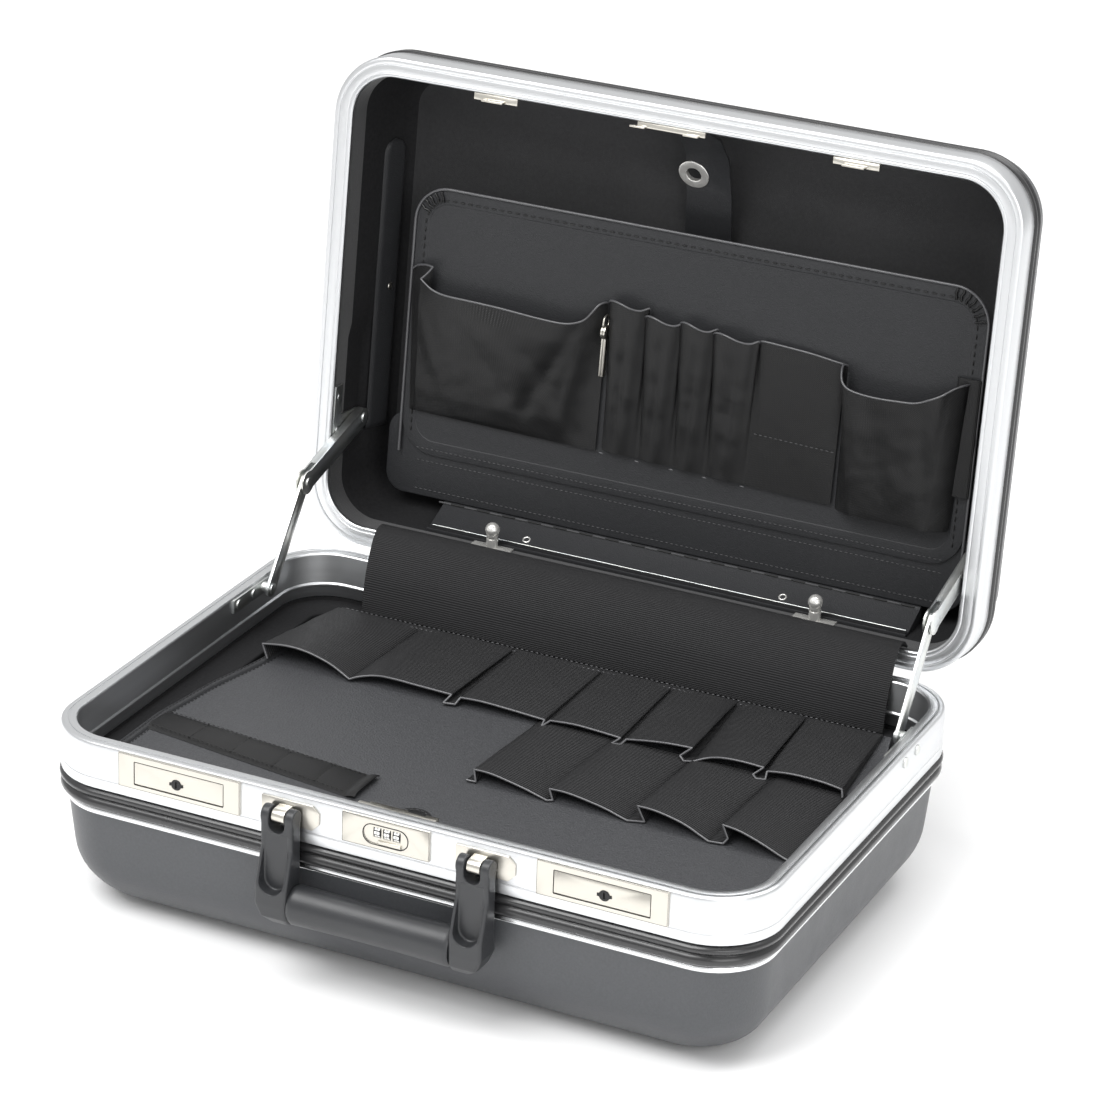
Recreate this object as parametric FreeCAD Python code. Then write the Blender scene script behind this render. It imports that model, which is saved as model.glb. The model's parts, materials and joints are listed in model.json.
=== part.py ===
import FreeCAD, Part
import os
import math

os.makedirs("parts", exist_ok=True)

# Hard tool case, open. Millimetres, +Z up, the front is -Y and the underside rests on Z = 0.
# The lid's pieces are drawn closed over the base, and are then turned about the hinge line.

# Case body
case_width = 480.0
case_depth = 334.6
base_height = 122.5
lid_height = 91.0
corner_radius = 43.0
shell_wall = 3.0
shell_inset = 4.7
shell_lean = 3.7
edge_radius = 44.0
lid_edge_radius = 46.0
corner_tighten_share = 0.45
arc_shares = (0.0, 0.17, 0.34, 0.5, 0.66, 0.83, 1.0)

# Frames
band_height = 30.5
flange = 2.0
web = 3.0
base_lip = 10.4
inner_flange = 1.5
inner_flange_height = 31.0
rim_round = 2.2
rim_tuck_share = 0.3
groove_at = 4.2
groove_width = 0.9
groove_depth = 0.6
rib_drop = 21.0
rib_height = 2.4
rib_proud = 1.0
parting_gap = 0.6
lid_lip = 13.5
lid_inner_flange = 1.5
lid_inner_flange_at = 10.9
lid_inner_flange_height = 17.0
lid_band_height = 20.0

# Bumpers and beads round both halves
bumper_height = 15.9
bumper_proud = 0.8
bumper_out_shares = (0.30, 0.55, 1.00, 1.00, 0.72, 0.60, 0.74, 0.93, 0.93, 0.62, 0.22)
bumper_drop_shares = (0.00, 0.07, 0.19, 0.32, 0.43, 0.48, 0.53, 0.63, 0.77, 0.91, 1.00)
bead_height = 4.4
bead_proud = 1.7
bead_out_shares = (0.0, 0.75, 1.0, 0.75, 0.0)
bead_drop_shares = (0.0, 0.12, 0.5, 0.88, 1.0)

# Linings
lining_gap = 0.3
lining_wall = 1.5
ledge_drop = 34.0
ledge_width = 24.0
ledge_thick = 6.0
lid_lining_face = 12.4
lid_wall_inset = 16.6
lid_wall_depth = 47.0
lid_corner_inset = 23.0
lid_corner_depth = 69.5
lid_roof_inset = 50.0
lid_roof_depth = 81.5
lid_roof_corner = 12.0
pad_front_in = 66.3
pad_back_in = 67.3
pad_depth_low = 48.0
pad_depth_high = 64.0
pad_thick = 1.6
pad_screw_y = 1.0
pad_screw_radius = 2.6
pad_screw_head = 0.9
pad_lean = 1.3

# Hinges
hinge_out = 3.9
hinge_drop = 3.45
lid_angle = 96.4
hinge_side_in = (112.0, 108.0)
hinge_length = 60.0
hinge_mid_share = 0.36
knuckle_radius = 3.2
hinge_pin_radius = 1.6
knuckle_play = 0.08
knuckle_gap = 0.3
knuckle_flat_share = 0.2
leaf_thick = 1.5
leaf_height = 16.0
leaf_lid_height = 13.0

# Stays
stay_pivot_in = 74.2
stay_pivot_drop = 6.0
stay_lid_in = 82.2
stay_lid_rise = 36.0
stay_lower_length = 75.0
stay_upper_length = 80.0
stay_bar_in = 17.3
stay_bar_thick = 2.4
stay_bar_half = 5.5
stay_cheek_gap = 3.4
stay_cheek = 1.2
stay_cheek_half = 6.4
stay_elbow_half = 8.0
stay_pin_radius = 2.0
stay_pin_play = 0.06
stay_head_radius = 3.6
stay_head = 1.0
stay_web_from = 14.0
stay_web_to = 2.4
stay_recess = 2.0
bracket_thick = 1.5
bracket_low_in = 113.2
bracket_high_in = 67.2
bracket_half = 4.6
bracket_rivets_in = (107.2, 87.2)
bracket_rivet_radius = 2.0
bracket_rivet_head = 3.4
bracket_rivet_dome = 1.0
lid_bracket_from = 4.2
lid_bracket_low_in = 109.2
lid_bracket_high_in = 72.2
lid_bracket_plate = 10.0
lid_bracket_half = 6.0
lid_bracket_rivet_in = 101.2
lid_bracket_rivet_rise = 9.2
stay_swing = 42.0

# Latches
latch_side_in = (103.0, 95.4)
latch_width = 84.0
latch_top_drop = 1.0
latch_height = 22.4
latch_proud = 1.6
flap_width = 62.0
flap_height = 15.4
flap_top_drop = 5.1
flap_clear = 0.35
flap_hinge_radius = 0.7
flap_trunnion = 0.45
flap_trunnion_length = 3.0
flap_trunnion_play = 0.05
barrel_radius = 3.4
barrel_play = 0.06
barrel_proud = 0.3
barrel_depth = 1.2
barrel_pocket = 4.6
barrel_pocket_depth = 1.4
barrel_drop = 13.6
barrel_shift = -1.6
keyhole_width = 1.2
keyhole_height = 4.2
keyhole_depth = 1.4
barrel_ear = 1.3
barrel_ear_wide = 2.0
strike_side_in = (116.4, 113.4)
strike_width = 31.0
strike_reach = 4.4
strike_thick = 1.4
tongue_width = 15.0
tongue_reach = 6.0
tongue_at = 2.6
tongue_thick = 1.2
receiver_place = 0.4
receiver_width = 47.0
receiver_reach = 3.4
receiver_hook_places = (-21.0, 16.0)
receiver_hook_width = 9.0
receiver_hook_drop = 4.0
receiver_hook_toe = 1.4
receiver_hook_thick = 1.2

# Combination lock
lock_place = 3.7
lock_width = 58.0
lock_height = 19.6
lock_top_drop = 1.9
lock_oval_width = 30.0
lock_oval_height = 13.0
lock_oval_drop = 12.2
lock_oval_depth = 0.9
lock_oval_end_share = 0.49
lock_body_width = 33.0
lock_body_height = 15.4
lock_body_depth = 8.2
lock_body_clear = 0.3
dial_radius = 4.3
dial_width = 4.8
dial_pitch = 6.4
dial_play = 0.2
dial_axis_depth = 2.9
dial_rise = 1.2
dial_axle_radius = 1.0
dial_axle_play = 0.05
dial_shift = 0.6
dial_teeth = 10
dial_notch = 0.35
dial_window_height = 6.6
slide_width = 15.0
slide_height = 2.2
slide_drop = 4.7
slide_shift = 2.6
slide_travel = 5.0
slide_thick = 1.1
slide_stem = 2.0
slide_stem_width = 3.0
slide_stem_height = 1.4
slide_play = 0.15
case_box_width = 52.0
case_box_depth = 5.6
case_box_top = 1.2
case_box_height = 19.0
case_slot_clear = 0.7

# Handle
handle_places = (-63.2, 66.6)
handle_arm_width = 22.0
handle_pivot_out = 7.8
handle_pivot_drop = 12.2
handle_pin_radius = 2.2
handle_pin_play = 0.08
handle_eye_radius = 5.9
handle_arm_thick = 11.6
handle_notch_width = 10.6
handle_notch_drop = 9.6
handle_loop_width = 8.6
handle_loop_radius = 4.4
handle_arm_reach = 55.0
handle_low_thick = 21.0
handle_low_height = 24.0
handle_corner = 9.0
handle_corner_share = 0.35
handle_belly_share = 0.9
handle_sole_share = 0.5
handle_belly_place_share = 0.62
handle_edge = 2.4
handle_recess_width = 16.6
handle_recess_depth = 0.7
handle_recess_drop = 39.0
grip_radius_y = 11.8
grip_radius_z = 12.8
grip_waist_share = 0.94
grip_out = 2.6
bracket_plate_width = 39.0
bracket_plate_height = 16.0
bracket_plate_drop = 4.6
bracket_plate_shift = 2.8
bracket_plate_proud = 1.4
bracket_plate_corner = 4.5

# Hinge cover, a ribbed sheet bent over the hinge line
cover_left_in = 59.0
cover_right_in = 46.0
cover_thick = 1.6
cover_in = (20.3, 18.7, 15.7, 11.7, 6.7, 1.7, -3.7, -9.7, -15.1)
cover_z = (-33.0, -22.0, -8.5, 2.2, 12.2, 18.6, 20.6, 19.6, 14.4)

# Tool tray in the base
tray_drop = 30.0
tray_thick = 4.0
tray_side_in = (23.0, 23.0, 28.0, 40.0, 48.0, 52.0)
tray_edge_shares = (0.0, 0.3042, 0.46154, 0.66783, 0.86364, 1.0)
tray_front_in = 20.3
tray_mirror_x = 1.5
tray_hinge_in = 28.3
tray_hinge_drop = 32.0
pocket_wall = 1.4
least_lift_share = 0.15
row_back_shares = (-0.825, -0.55417, -0.26458, 0.025, 0.23333, 0.43333, 0.64167, 0.825)
row_back_rise = (11.0, 12.0, 12.0, 10.0, 10.0, 10.0, 10.0)
row_back_from_share = 0.98601
row_back_to_share = 0.67133
row_front_shares = (0.00417, 0.21875, 0.44583, 0.67917, 0.86667)
row_front_rise = (10.0, 10.0, 11.0, 9.0)
row_front_from_share = 0.66783
row_front_to_share = 0.35315
row_far_share = 0.16
row_mid_share = 0.62
row_mid_place_share = 0.45
row_near_share = 1.0
strip_side_in = (28.0, 30.0)
strip_far_share = -0.2125
strip_front_in = (83.3, 62.3, 95.3, 111.3)
strip_thick = 1.6
strip_end = 3.0
strip_end_height = 3.2
tab_x = -8.0
tab_front_in = 55.3
tab_radius = 12.0
tab_thick = 2.0

# Tool board in the lid
board_depth = 45.0
board_thick = 4.0
board_left_in = 43.0
board_right_in = 29.0
board_top_in = 90.8
board_low_in = 57.3
board_corner = 25.0
board_binding = 1.4
board_binding_proud = 0.8
board_skirt_left_in = 34.0
board_skirt_right_in = 27.0
board_skirt_thick = 2.4
board_skirt_corner = 14.0
board_hinge_in = 26.8
board_hinge_radius = 1.7
board_hinge_play = 0.05
board_ledge_depth = 27.0
board_ledge_thick = 2.0
board_ledge_foot = 5.0
board_ledge_left_in = 80.0
board_ledge_right_in = 54.0
large_shares = (-0.79167, -0.2125)
large_rise = 15.0
large_mouth_share = 0.29223
seam_place_share = 0.8311
large_cut_x_shares = (-0.76667, -0.5, -0.3, -0.22083)
large_cut_y_shares = (0.31367, 0.36193, 0.38874, 0.29759)
loops_shares = (-0.19792, -0.0875, 0.01667, 0.11667, 0.23958, 0.49167)
loops_rise = (10.0, 10.0, 10.0, 10.0, 3.2)
loops_mouth_share = 0.28686
phone_shares = (0.49792, 0.84583)
phone_rise = 18.0
phone_mouth_share = 0.34584
phone_cut_x_shares = (0.51667, 0.65, 0.8)
phone_cut_y_shares = (0.36193, 0.40483, 0.36193)
seam_share = 0.14
belly_share = 0.75
mouth_share = 1.0
key_aside = 1.7
key_place_share = 0.36193
key_ring_radius = 4.6
key_ring_wire = 0.7
key_bow_radius = 5.0
key_bow_set_share = 0.4
key_blade_width = 4.0
key_blade_length = 30.0
key_thick = 1.3
key_gap = 0.4
key_out = 5.4

# Strap in the lid, its eyelet, and the studs
strap_top_x = (-2.0, 25.0)
strap_low_x = (-17.0, 18.0)
strap_front_in = (15.1, 23.3, 40.3, 67.3, 101.3, 127.3)
strap_z = (5.0, 28.0, 49.0, 63.0, 74.0, 79.85)
strap_thick = 1.6
eyelet_outer = 10.6
eyelet_inner = 5.2
eyelet_proud = 1.0
eyelet_x = -4.0
stud_side_in = (132.0, 115.0)
stud_plate_width = 29.0
stud_plate_depth = 7.0
stud_plate_thick = 1.2
stud_depth = 17.0
stud_radius = 4.0
stud_neck_radius = 3.4
stud_neck_share = 0.62
stud_neck_reach = 1.6
stud_height = 12.0
stud_ball = 5.0

# Places that follow the case's width, depth and height
half_w = case_width / 2
half_d = case_depth / 2
front_y = -half_d
parting = base_height
diagonal_share = math.sqrt(0.5)


def in_from_sides(sides):
    """Places of a left and a right fitting, from how far each stands inside its side of the case."""
    return (sides[0] - half_w, half_w - sides[1])


def along_width(shares):
    """Places across the case, from their shares of its half width."""
    return [share * half_w for share in shares]


hinge_y = half_d + hinge_out
hinge_places = in_from_sides(hinge_side_in)
latch_places = in_from_sides(latch_side_in)
strike_places = in_from_sides(strike_side_in)
stud_places = in_from_sides(stud_side_in)
stay_bar_centre = half_w - stay_bar_in
stay_pivot_y = hinge_y - stay_pivot_in
stay_lid_y = hinge_y - stay_lid_in
bracket_y_low = hinge_y - bracket_low_in
bracket_y_high = hinge_y - bracket_high_in
bracket_rivets = [hinge_y - inward for inward in bracket_rivets_in]
lid_bracket_low = hinge_y - lid_bracket_low_in
lid_bracket_high = hinge_y - lid_bracket_high_in
lid_bracket_rivet_y = hinge_y - lid_bracket_rivet_in
pad_from = pad_front_in - half_d
pad_length = half_d - pad_back_in - pad_from
cover_left = cover_left_in - half_w
cover_right = half_w - cover_right_in
cover_y = [half_d - inward for inward in cover_in]
tray_hinge_y = half_d - tray_hinge_in
tray_front = tray_front_in - half_d
tray_edge_x = [inward - half_w for inward in tray_side_in]
tray_edge_y = [tray_front + share * (tray_hinge_y - tray_front) for share in tray_edge_shares]
row_back_x = along_width(row_back_shares)
row_front_x = along_width(row_front_shares)
row_back_from = tray_front + row_back_from_share * (tray_hinge_y - tray_front)
row_back_to = tray_front + row_back_to_share * (tray_hinge_y - tray_front)
row_front_from = tray_front + row_front_from_share * (tray_hinge_y - tray_front)
row_front_to = tray_front + row_front_to_share * (tray_hinge_y - tray_front)
strip_end_x = strip_far_share * half_w
strip_x = (strip_side_in[0] - half_w, strip_end_x, strip_end_x, strip_side_in[1] - half_w)
strip_y = [inward - half_d for inward in strip_front_in]
tab_y = tab_front_in - half_d
board_left = board_left_in - half_w
board_right = half_w - board_right_in
board_top = board_top_in - half_d
board_low = half_d - board_low_in
board_skirt_left = board_skirt_left_in - half_w
board_skirt_right = half_w - board_skirt_right_in
board_hinge_y = half_d - board_hinge_in
board_ledge_left = board_ledge_left_in - half_w
board_ledge_right = half_w - board_ledge_right_in
board_length = board_low - board_top
large_x = along_width(large_shares)
large_mouth = board_top + large_mouth_share * board_length
seam_y = board_top + seam_place_share * board_length
large_cut_x = along_width(large_cut_x_shares)
large_cut_y = [board_top + share * board_length for share in large_cut_y_shares]
loops_x = along_width(loops_shares)
loops_mouth = board_top + loops_mouth_share * board_length
phone_x = along_width(phone_shares)
phone_mouth = board_top + phone_mouth_share * board_length
phone_cut_x = along_width(phone_cut_x_shares)
phone_cut_y = [board_top + share * board_length for share in phone_cut_y_shares]
key_x = large_x[1] + key_aside
key_y = board_top + key_place_share * board_length
strap_y = [inward - half_d for inward in strap_front_in]


def V(x, y, z):
    return FreeCAD.Vector(x, y, z)


def box(x0, x1, y0, y1, z0, z1):
    """A block between opposite corners."""
    return Part.makeBox(x1 - x0, y1 - y0, z1 - z0, V(x0, y0, z0))


def rod_x(x0, x1, y, z, r):
    """A round bar along X."""
    return Part.makeCylinder(r, x1 - x0, V(x0, y, z), V(1, 0, 0))


def rod_y(x, y0, y1, z, r):
    """A round bar along Y."""
    return Part.makeCylinder(r, y1 - y0, V(x, y0, z), V(0, 1, 0))


def rod_z(x, y, z0, z1, r):
    """A round bar along Z."""
    return Part.makeCylinder(r, z1 - z0, V(x, y, z0), V(0, 0, 1))


def rounded(x0, x1, y0, y1, r, z):
    """A rectangle with round corners at one height, from the middle of its front side."""
    xm = (x0 + x1) / 2
    a = r * diagonal_share
    e = []
    e.append(Part.makeLine(V(xm, y0, z), V(x1 - r, y0, z)))
    e.append(Part.Arc(V(x1 - r, y0, z), V(x1 - r + a, y0 + r - a, z), V(x1, y0 + r, z)).toShape())
    e.append(Part.makeLine(V(x1, y0 + r, z), V(x1, y1 - r, z)))
    e.append(Part.Arc(V(x1, y1 - r, z), V(x1 - r + a, y1 - r + a, z), V(x1 - r, y1, z)).toShape())
    e.append(Part.makeLine(V(x1 - r, y1, z), V(x0 + r, y1, z)))
    e.append(Part.Arc(V(x0 + r, y1, z), V(x0 + r - a, y1 - r + a, z), V(x0, y1 - r, z)).toShape())
    e.append(Part.makeLine(V(x0, y1 - r, z), V(x0, y0 + r, z)))
    e.append(Part.Arc(V(x0, y0 + r, z), V(x0 + r - a, y0 + r - a, z), V(x0 + r, y0, z)).toShape())
    e.append(Part.makeLine(V(x0 + r, y0, z), V(xm, y0, z)))
    return Part.Wire(e)


def outline(inset, z, r):
    return rounded(-half_w + inset, half_w - inset, -half_d + inset, half_d - inset, r, z)


def plate(x0, x1, y0, y1, z0, z1, r):
    """A flat plate with round corners."""
    return Part.Face(rounded(x0, x1, y0, y1, r, z0)).extrude(V(0, 0, z1 - z0))


def slab(inset, z0, z1):
    """A prism over the case outline."""
    return Part.Face(outline(inset, z0, corner_radius - inset)).extrude(V(0, 0, z1 - z0))


def polygon_x(x, points):
    """A closed polygon of (y, z) points in the plane of one x."""
    v = [V(x, y, z) for y, z in points]
    return Part.Wire(Part.makePolygon(v + v[:1]))


def belt(points):
    """A ring round the case outline with one section of (inset, z) points."""
    v = [(front_y + i, z) for i, z in points]
    straight_x = half_w - corner_radius
    straight_y = half_d - corner_radius
    side = Part.Face(polygon_x(-straight_x, v)).extrude(V(2 * straight_x, 0, 0))
    turn = Part.Face(polygon_x(straight_x, v)).revolve(V(straight_x, -straight_y, 0), V(0, 0, 1), 90)
    flank = Part.Face(polygon_x(0, [(y - front_y, z) for y, z in v]))
    flank.rotate(V(0, 0, 0), V(0, 0, 1), 90)
    flank.translate(V(half_w, -straight_y, 0))
    flank = flank.extrude(V(0, 2 * straight_y, 0))
    half = side.fuse([turn, flank])
    turned = flipped(turn)
    half = half.fuse(turned)
    other = half.copy()
    other.rotate(V(0, 0, 0), V(0, 0, 1), 180)
    ring = half.fuse(other).removeSplitter()
    return ring


def flipped(shape):
    """The same piece on the other side of the middle plane across Y."""
    return shape.mirror(V(0, 0, 0), V(0, 1, 0))


def mirrored(shape):
    """The same piece on the other side of the middle plane across X."""
    return shape.mirror(V(0, 0, 0), V(1, 0, 0))


def bowl(off, z_top, z_rim, z_far, radius, lean):
    """A solid that fills one half of the case, a set distance inside its outer face."""
    tilt = math.radians(lean)
    centre_z = z_far + radius
    straight = z_rim - (centre_z - radius * math.sin(tilt))
    centre_i = shell_inset + straight * math.tan(tilt) + radius * math.cos(tilt)
    wires = []
    for share in arc_shares:
        a = tilt + share * (math.pi / 2 - tilt)
        inset = centre_i - (radius - off) * math.cos(a)
        z = centre_z - (radius - off) * math.sin(a)
        face = centre_i - radius * math.cos(a)
        wires.append(outline(inset, z, corner_radius - corner_tighten_share * face - off))
    parts = [Part.makeLoft(wires, True, False), slab(shell_inset + off, z_rim, z_top)]
    if z_rim - wires[0].BoundBox.ZMax > off:
        rim_wire = outline(shell_inset + off, z_rim, corner_radius - shell_inset - off)
        parts.append(Part.makeLoft([rim_wire, wires[0]], True, True))
    else:
        parts[1] = slab(shell_inset + off, wires[0].BoundBox.ZMax, z_top)
    return parts[0].fuse(parts[1:]).removeSplitter()


def raised(shape):
    """A half drawn below the parting plane, mirrored to lie above it."""
    return shape.mirror(V(0, 0, parting), V(0, 0, 1))


def turned_open(shape):
    """A lid piece drawn closed, turned about the hinge line into the open pose."""
    out = shape.copy()
    out.rotate(V(0, hinge_y, parting - hinge_drop), V(1, 0, 0), -lid_angle)
    return out


def save(shape, name):
    shape.exportStep("parts/" + name + ".step")


def save_lid(shape, name):
    save(turned_open(shape), name)


def bar_yz(x0, x1, y0, z0, y1, z1, r):
    """A flat link with round ends between two points, lying across X."""
    dy = y1 - y0
    dz = z1 - z0
    length = math.hypot(dy, dz)
    body = box(x0, x1, 0, length, -r, r)
    body = body.fuse([rod_x(x0, x1, 0, 0, r), rod_x(x0, x1, length, 0, r)]).removeSplitter()
    body.rotate(V(0, 0, 0), V(1, 0, 0), math.degrees(math.atan2(dz, dy)))
    body.translate(V(0, y0, z0))
    return body


def pleats(xs, rises, stations, plane, hanging=False):
    """A row of open pockets sewn down between them. Stations are (y, share of the rise)."""
    s = -1 if hanging else 1
    w = pocket_wall
    seam = plane + s * w
    count = len(rises)
    wires = []
    for y, share in stations:
        lift = [max(rise * share - w, w * least_lift_share) for rise in rises]
        e = [Part.makeLine(V(xs[0], y, plane), V(xs[0], y, seam))]
        for k in range(count):
            m = V((xs[k] + xs[k + 1]) / 2, y, seam + s * lift[k])
            e.append(Part.Arc(V(xs[k], y, seam), m, V(xs[k + 1], y, seam)).toShape())
        e.append(Part.makeLine(V(xs[-1], y, seam), V(xs[-1], y, plane)))
        reached = V(xs[-1], y, plane)
        for k in reversed(range(count)):
            b = V(xs[k + 1] - w, y, plane)
            a = V(xs[k] + w, y, plane)
            m = V((xs[k] + xs[k + 1]) / 2, y, plane + s * lift[k])
            e.append(Part.makeLine(reached, b))
            e.append(Part.Arc(b, m, a).toShape())
            reached = a
        e.append(Part.makeLine(reached, V(xs[0], y, plane)))
        wires.append(Part.Wire(e))
    return Part.makeLoft(wires, True, True)


# Base: shell, frame, bumper and bead
bead_low = parting - band_height - bumper_height - bead_height
bead_top = bead_low + bead_height
band_low = parting - band_height
rim_top = parting - web
rim_low = bead_low - groove_width
base_shell = bowl(0, rim_top, rim_low, 0, edge_radius, shell_lean)
base_shell = base_shell.cut(bowl(shell_wall, rim_top, rim_low, 0, edge_radius, shell_lean))

section = [
    (0, band_low), (0, parting - rim_round), (rim_round * rim_tuck_share,
        parting - rim_round * rim_tuck_share),
    (rim_round, parting), (groove_at, parting), (groove_at, parting - groove_depth),
    (groove_at + groove_width, parting - groove_depth), (groove_at + groove_width, parting),
    (base_lip - groove_width, parting), (base_lip, parting - groove_width),
    (base_lip, parting - rib_drop), (base_lip + rib_proud, parting - rib_drop - rib_proud),
    (base_lip + rib_proud, parting - rib_drop - rib_height), (base_lip,
        parting - rib_drop - rib_height - rib_proud),
    (base_lip, parting - inner_flange_height), (base_lip - inner_flange, parting - inner_flange_height),
    (base_lip - inner_flange, rim_top), (flange, rim_top), (flange, band_low),
]
base_frame = belt(section)


def bumper(z0, s):
    """Double-ribbed rubber section from the band's edge, s is its direction along Z."""
    reach = shell_inset + bumper_proud
    points = [(shell_inset, z0)]
    for out, drop in zip(bumper_out_shares, bumper_drop_shares):
        points.append((shell_inset - out * reach, z0 + s * drop * bumper_height))
    points.append((shell_inset, z0 + s * bumper_height))
    return belt(points)


def bead(z0, s):
    """Thin bright bead beyond the bumper."""
    points = []
    for out, drop in zip(bead_out_shares, bead_drop_shares):
        points.append((shell_inset - out * bead_proud, z0 + s * drop * bead_height))
    return belt(points)


save(bumper(band_low, -1), "base_bumper")
save(bead(bead_top, -1), "base_bead")

# Base lining with the ledge that carries the tray
lining_off = shell_wall + lining_gap
lining_top = parting - inner_flange_height
base_lining = bowl(lining_off, lining_top, rim_low, 0, edge_radius, shell_lean)
base_lining = base_lining.cut(bowl(lining_off + lining_wall, lining_top, rim_low, 0, edge_radius,
    shell_lean))
ledge = slab(shell_inset + lining_off, parting - ledge_drop - ledge_thick, parting - ledge_drop)
ledge = ledge.cut(slab(shell_inset + lining_off + ledge_width, parting - ledge_drop - ledge_thick,
    parting))
base_lining = base_lining.fuse(ledge).removeSplitter()
save(base_lining, "base_lining")

# Lid: shell, frame, bumper and bead
rim = parting + parting_gap
low_far = parting - lid_height
low_rim = parting - lid_band_height - bumper_height - bead_height - groove_width
low_top = parting - parting_gap - web
lid_band_top = parting + lid_band_height
lid_bead_low = lid_band_top + bumper_height
lid_shell = bowl(0, low_top, low_rim, low_far, lid_edge_radius, shell_lean)
lid_shell = raised(lid_shell.cut(bowl(shell_wall, low_top, low_rim, low_far, lid_edge_radius, shell_lean)))
save_lid(lid_shell, "lid_shell")
flange_face = lid_inner_flange_at - lid_inner_flange
section = [
    (0, lid_band_top), (0, rim + rim_round), (rim_round * rim_tuck_share,
        rim + rim_round * rim_tuck_share),
    (rim_round, rim), (groove_at, rim), (groove_at, rim + groove_depth),
    (groove_at + groove_width, rim + groove_depth), (groove_at + groove_width, rim),
    (lid_lip - groove_width, rim), (lid_lip, rim + groove_width), (lid_lip, rim + web),
    (lid_inner_flange_at, rim + web), (lid_inner_flange_at, rim + lid_inner_flange_height),
    (flange_face, rim + lid_inner_flange_height), (flange_face, rim + web),
    (flange, rim + web), (flange, lid_band_top),
]
lid_frame = belt(section)
save_lid(lid_frame, "lid_frame")
save_lid(bumper(lid_band_top, 1), "lid_bumper")
save_lid(bead(lid_bead_low, 1), "lid_bead")

# Lid lining: padded walls and roof, with a raised side pad and its screw on each side
lining_low = rim + web
outer = raised(bowl(lining_off, low_top, low_rim, low_far, lid_edge_radius, shell_lean))
wires = [
    outline(lid_lining_face, lining_low, corner_radius - lid_lining_face),
    outline(lid_wall_inset, parting + lid_wall_depth, corner_radius - lid_wall_inset),
    outline(lid_corner_inset, parting + lid_corner_depth, corner_radius - lid_corner_inset),
    outline(lid_roof_inset, parting + lid_roof_depth, lid_roof_corner),
]
inner = Part.makeLoft(wires, True, True)
lid_lining = outer.cut(inner)
clear = slab(lid_inner_flange_at - inner_flange - lining_gap, lining_low, rim + lid_inner_flange_height)
clear = clear.cut(slab(lid_inner_flange_at, lining_low, rim + lid_inner_flange_height))
lid_lining = lid_lining.cut(clear)
slope = (lid_wall_inset - lid_lining_face) / (parting + lid_wall_depth - lining_low)
high_slope = (lid_corner_inset - lid_wall_inset) / (lid_corner_depth - lid_wall_depth)


def lining_inset(z):
    """How far inside the outline the lid lining's wall stands at one height."""
    low = lid_lining_face + slope * (z - lining_low)
    return max(low, lid_wall_inset + high_slope * (z - parting - lid_wall_depth))


low_x = half_w - lining_inset(parting + pad_depth_low)
high_x = half_w - lining_inset(parting + pad_depth_high)
pad_points = [
    (low_x + pad_lean, parting + pad_depth_low), (low_x - pad_thick, parting + pad_depth_low),
    (high_x - pad_thick, parting + pad_depth_high), (high_x + pad_lean, parting + pad_depth_high),
]
v = [V(x, pad_from, z) for x, z in pad_points]
pad = Part.Face(Part.Wire(Part.makePolygon(v + v[:1]))).extrude(V(0, pad_length, 0))
screw_z = parting + (pad_depth_low + pad_depth_high) / 2
screw_x = (low_x + high_x) / 2 - pad_thick
screw = rod_x(screw_x - pad_screw_head, screw_x + pad_thick, pad_screw_y, screw_z, pad_screw_radius)
pad = pad.fuse(screw)
lid_lining = lid_lining.fuse([pad, mirrored(pad)])

# Hinges: two butt hinges on the back of the frames
axis_z = parting - hinge_drop
back_y = half_d
for name, place in zip(("left", "right"), hinge_places):
    x0 = place - hinge_length / 2
    x1 = place + hinge_length / 2
    m0 = place - hinge_length * hinge_mid_share / 2
    m1 = place + hinge_length * hinge_mid_share / 2
    leaf = box(x0, x1, back_y, back_y + leaf_thick, axis_z - leaf_height, axis_z)
    barrel = rod_x(x0, x1, hinge_y, axis_z, knuckle_radius)
    neck = box(x0, x1, back_y, hinge_y, axis_z - knuckle_radius, axis_z)
    leaf = leaf.fuse([barrel, neck])
    gap = rod_x(m0 - knuckle_gap, m1 + knuckle_gap, hinge_y, axis_z, knuckle_radius + knuckle_gap)
    leaf = leaf.cut(gap)
    pin = rod_x(x0, x1, hinge_y, axis_z, hinge_pin_radius)
    leaf = leaf.fuse(pin).removeSplitter()
    save(leaf, "hinge_leaf_base_" + name)
    leaf = box(x0, x1, back_y, back_y + leaf_thick, rim + knuckle_gap, rim + leaf_lid_height)
    arm = box(m0, m1, back_y, hinge_y, axis_z, rim + knuckle_gap)
    arm = arm.fuse(rod_x(m0, m1, hinge_y, axis_z, knuckle_radius))
    arm = arm.fuse(box(m0, m1, back_y, hinge_y + knuckle_radius * knuckle_flat_share, axis_z,
        rim + leaf_thick * 2))
    room = box(m0 - knuckle_gap, m1 + knuckle_gap, back_y - leaf_thick, back_y + knuckle_gap,
        axis_z - leaf_height, rim)
    arm = arm.cut(room)
    leaf = leaf.fuse(arm)
    leaf = leaf.cut(rod_x(m0 - hinge_length, m1 + hinge_length, hinge_y, axis_z,
        hinge_pin_radius + knuckle_play))
    save_lid(leaf.removeSplitter(), "hinge_leaf_lid_" + name)

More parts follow.
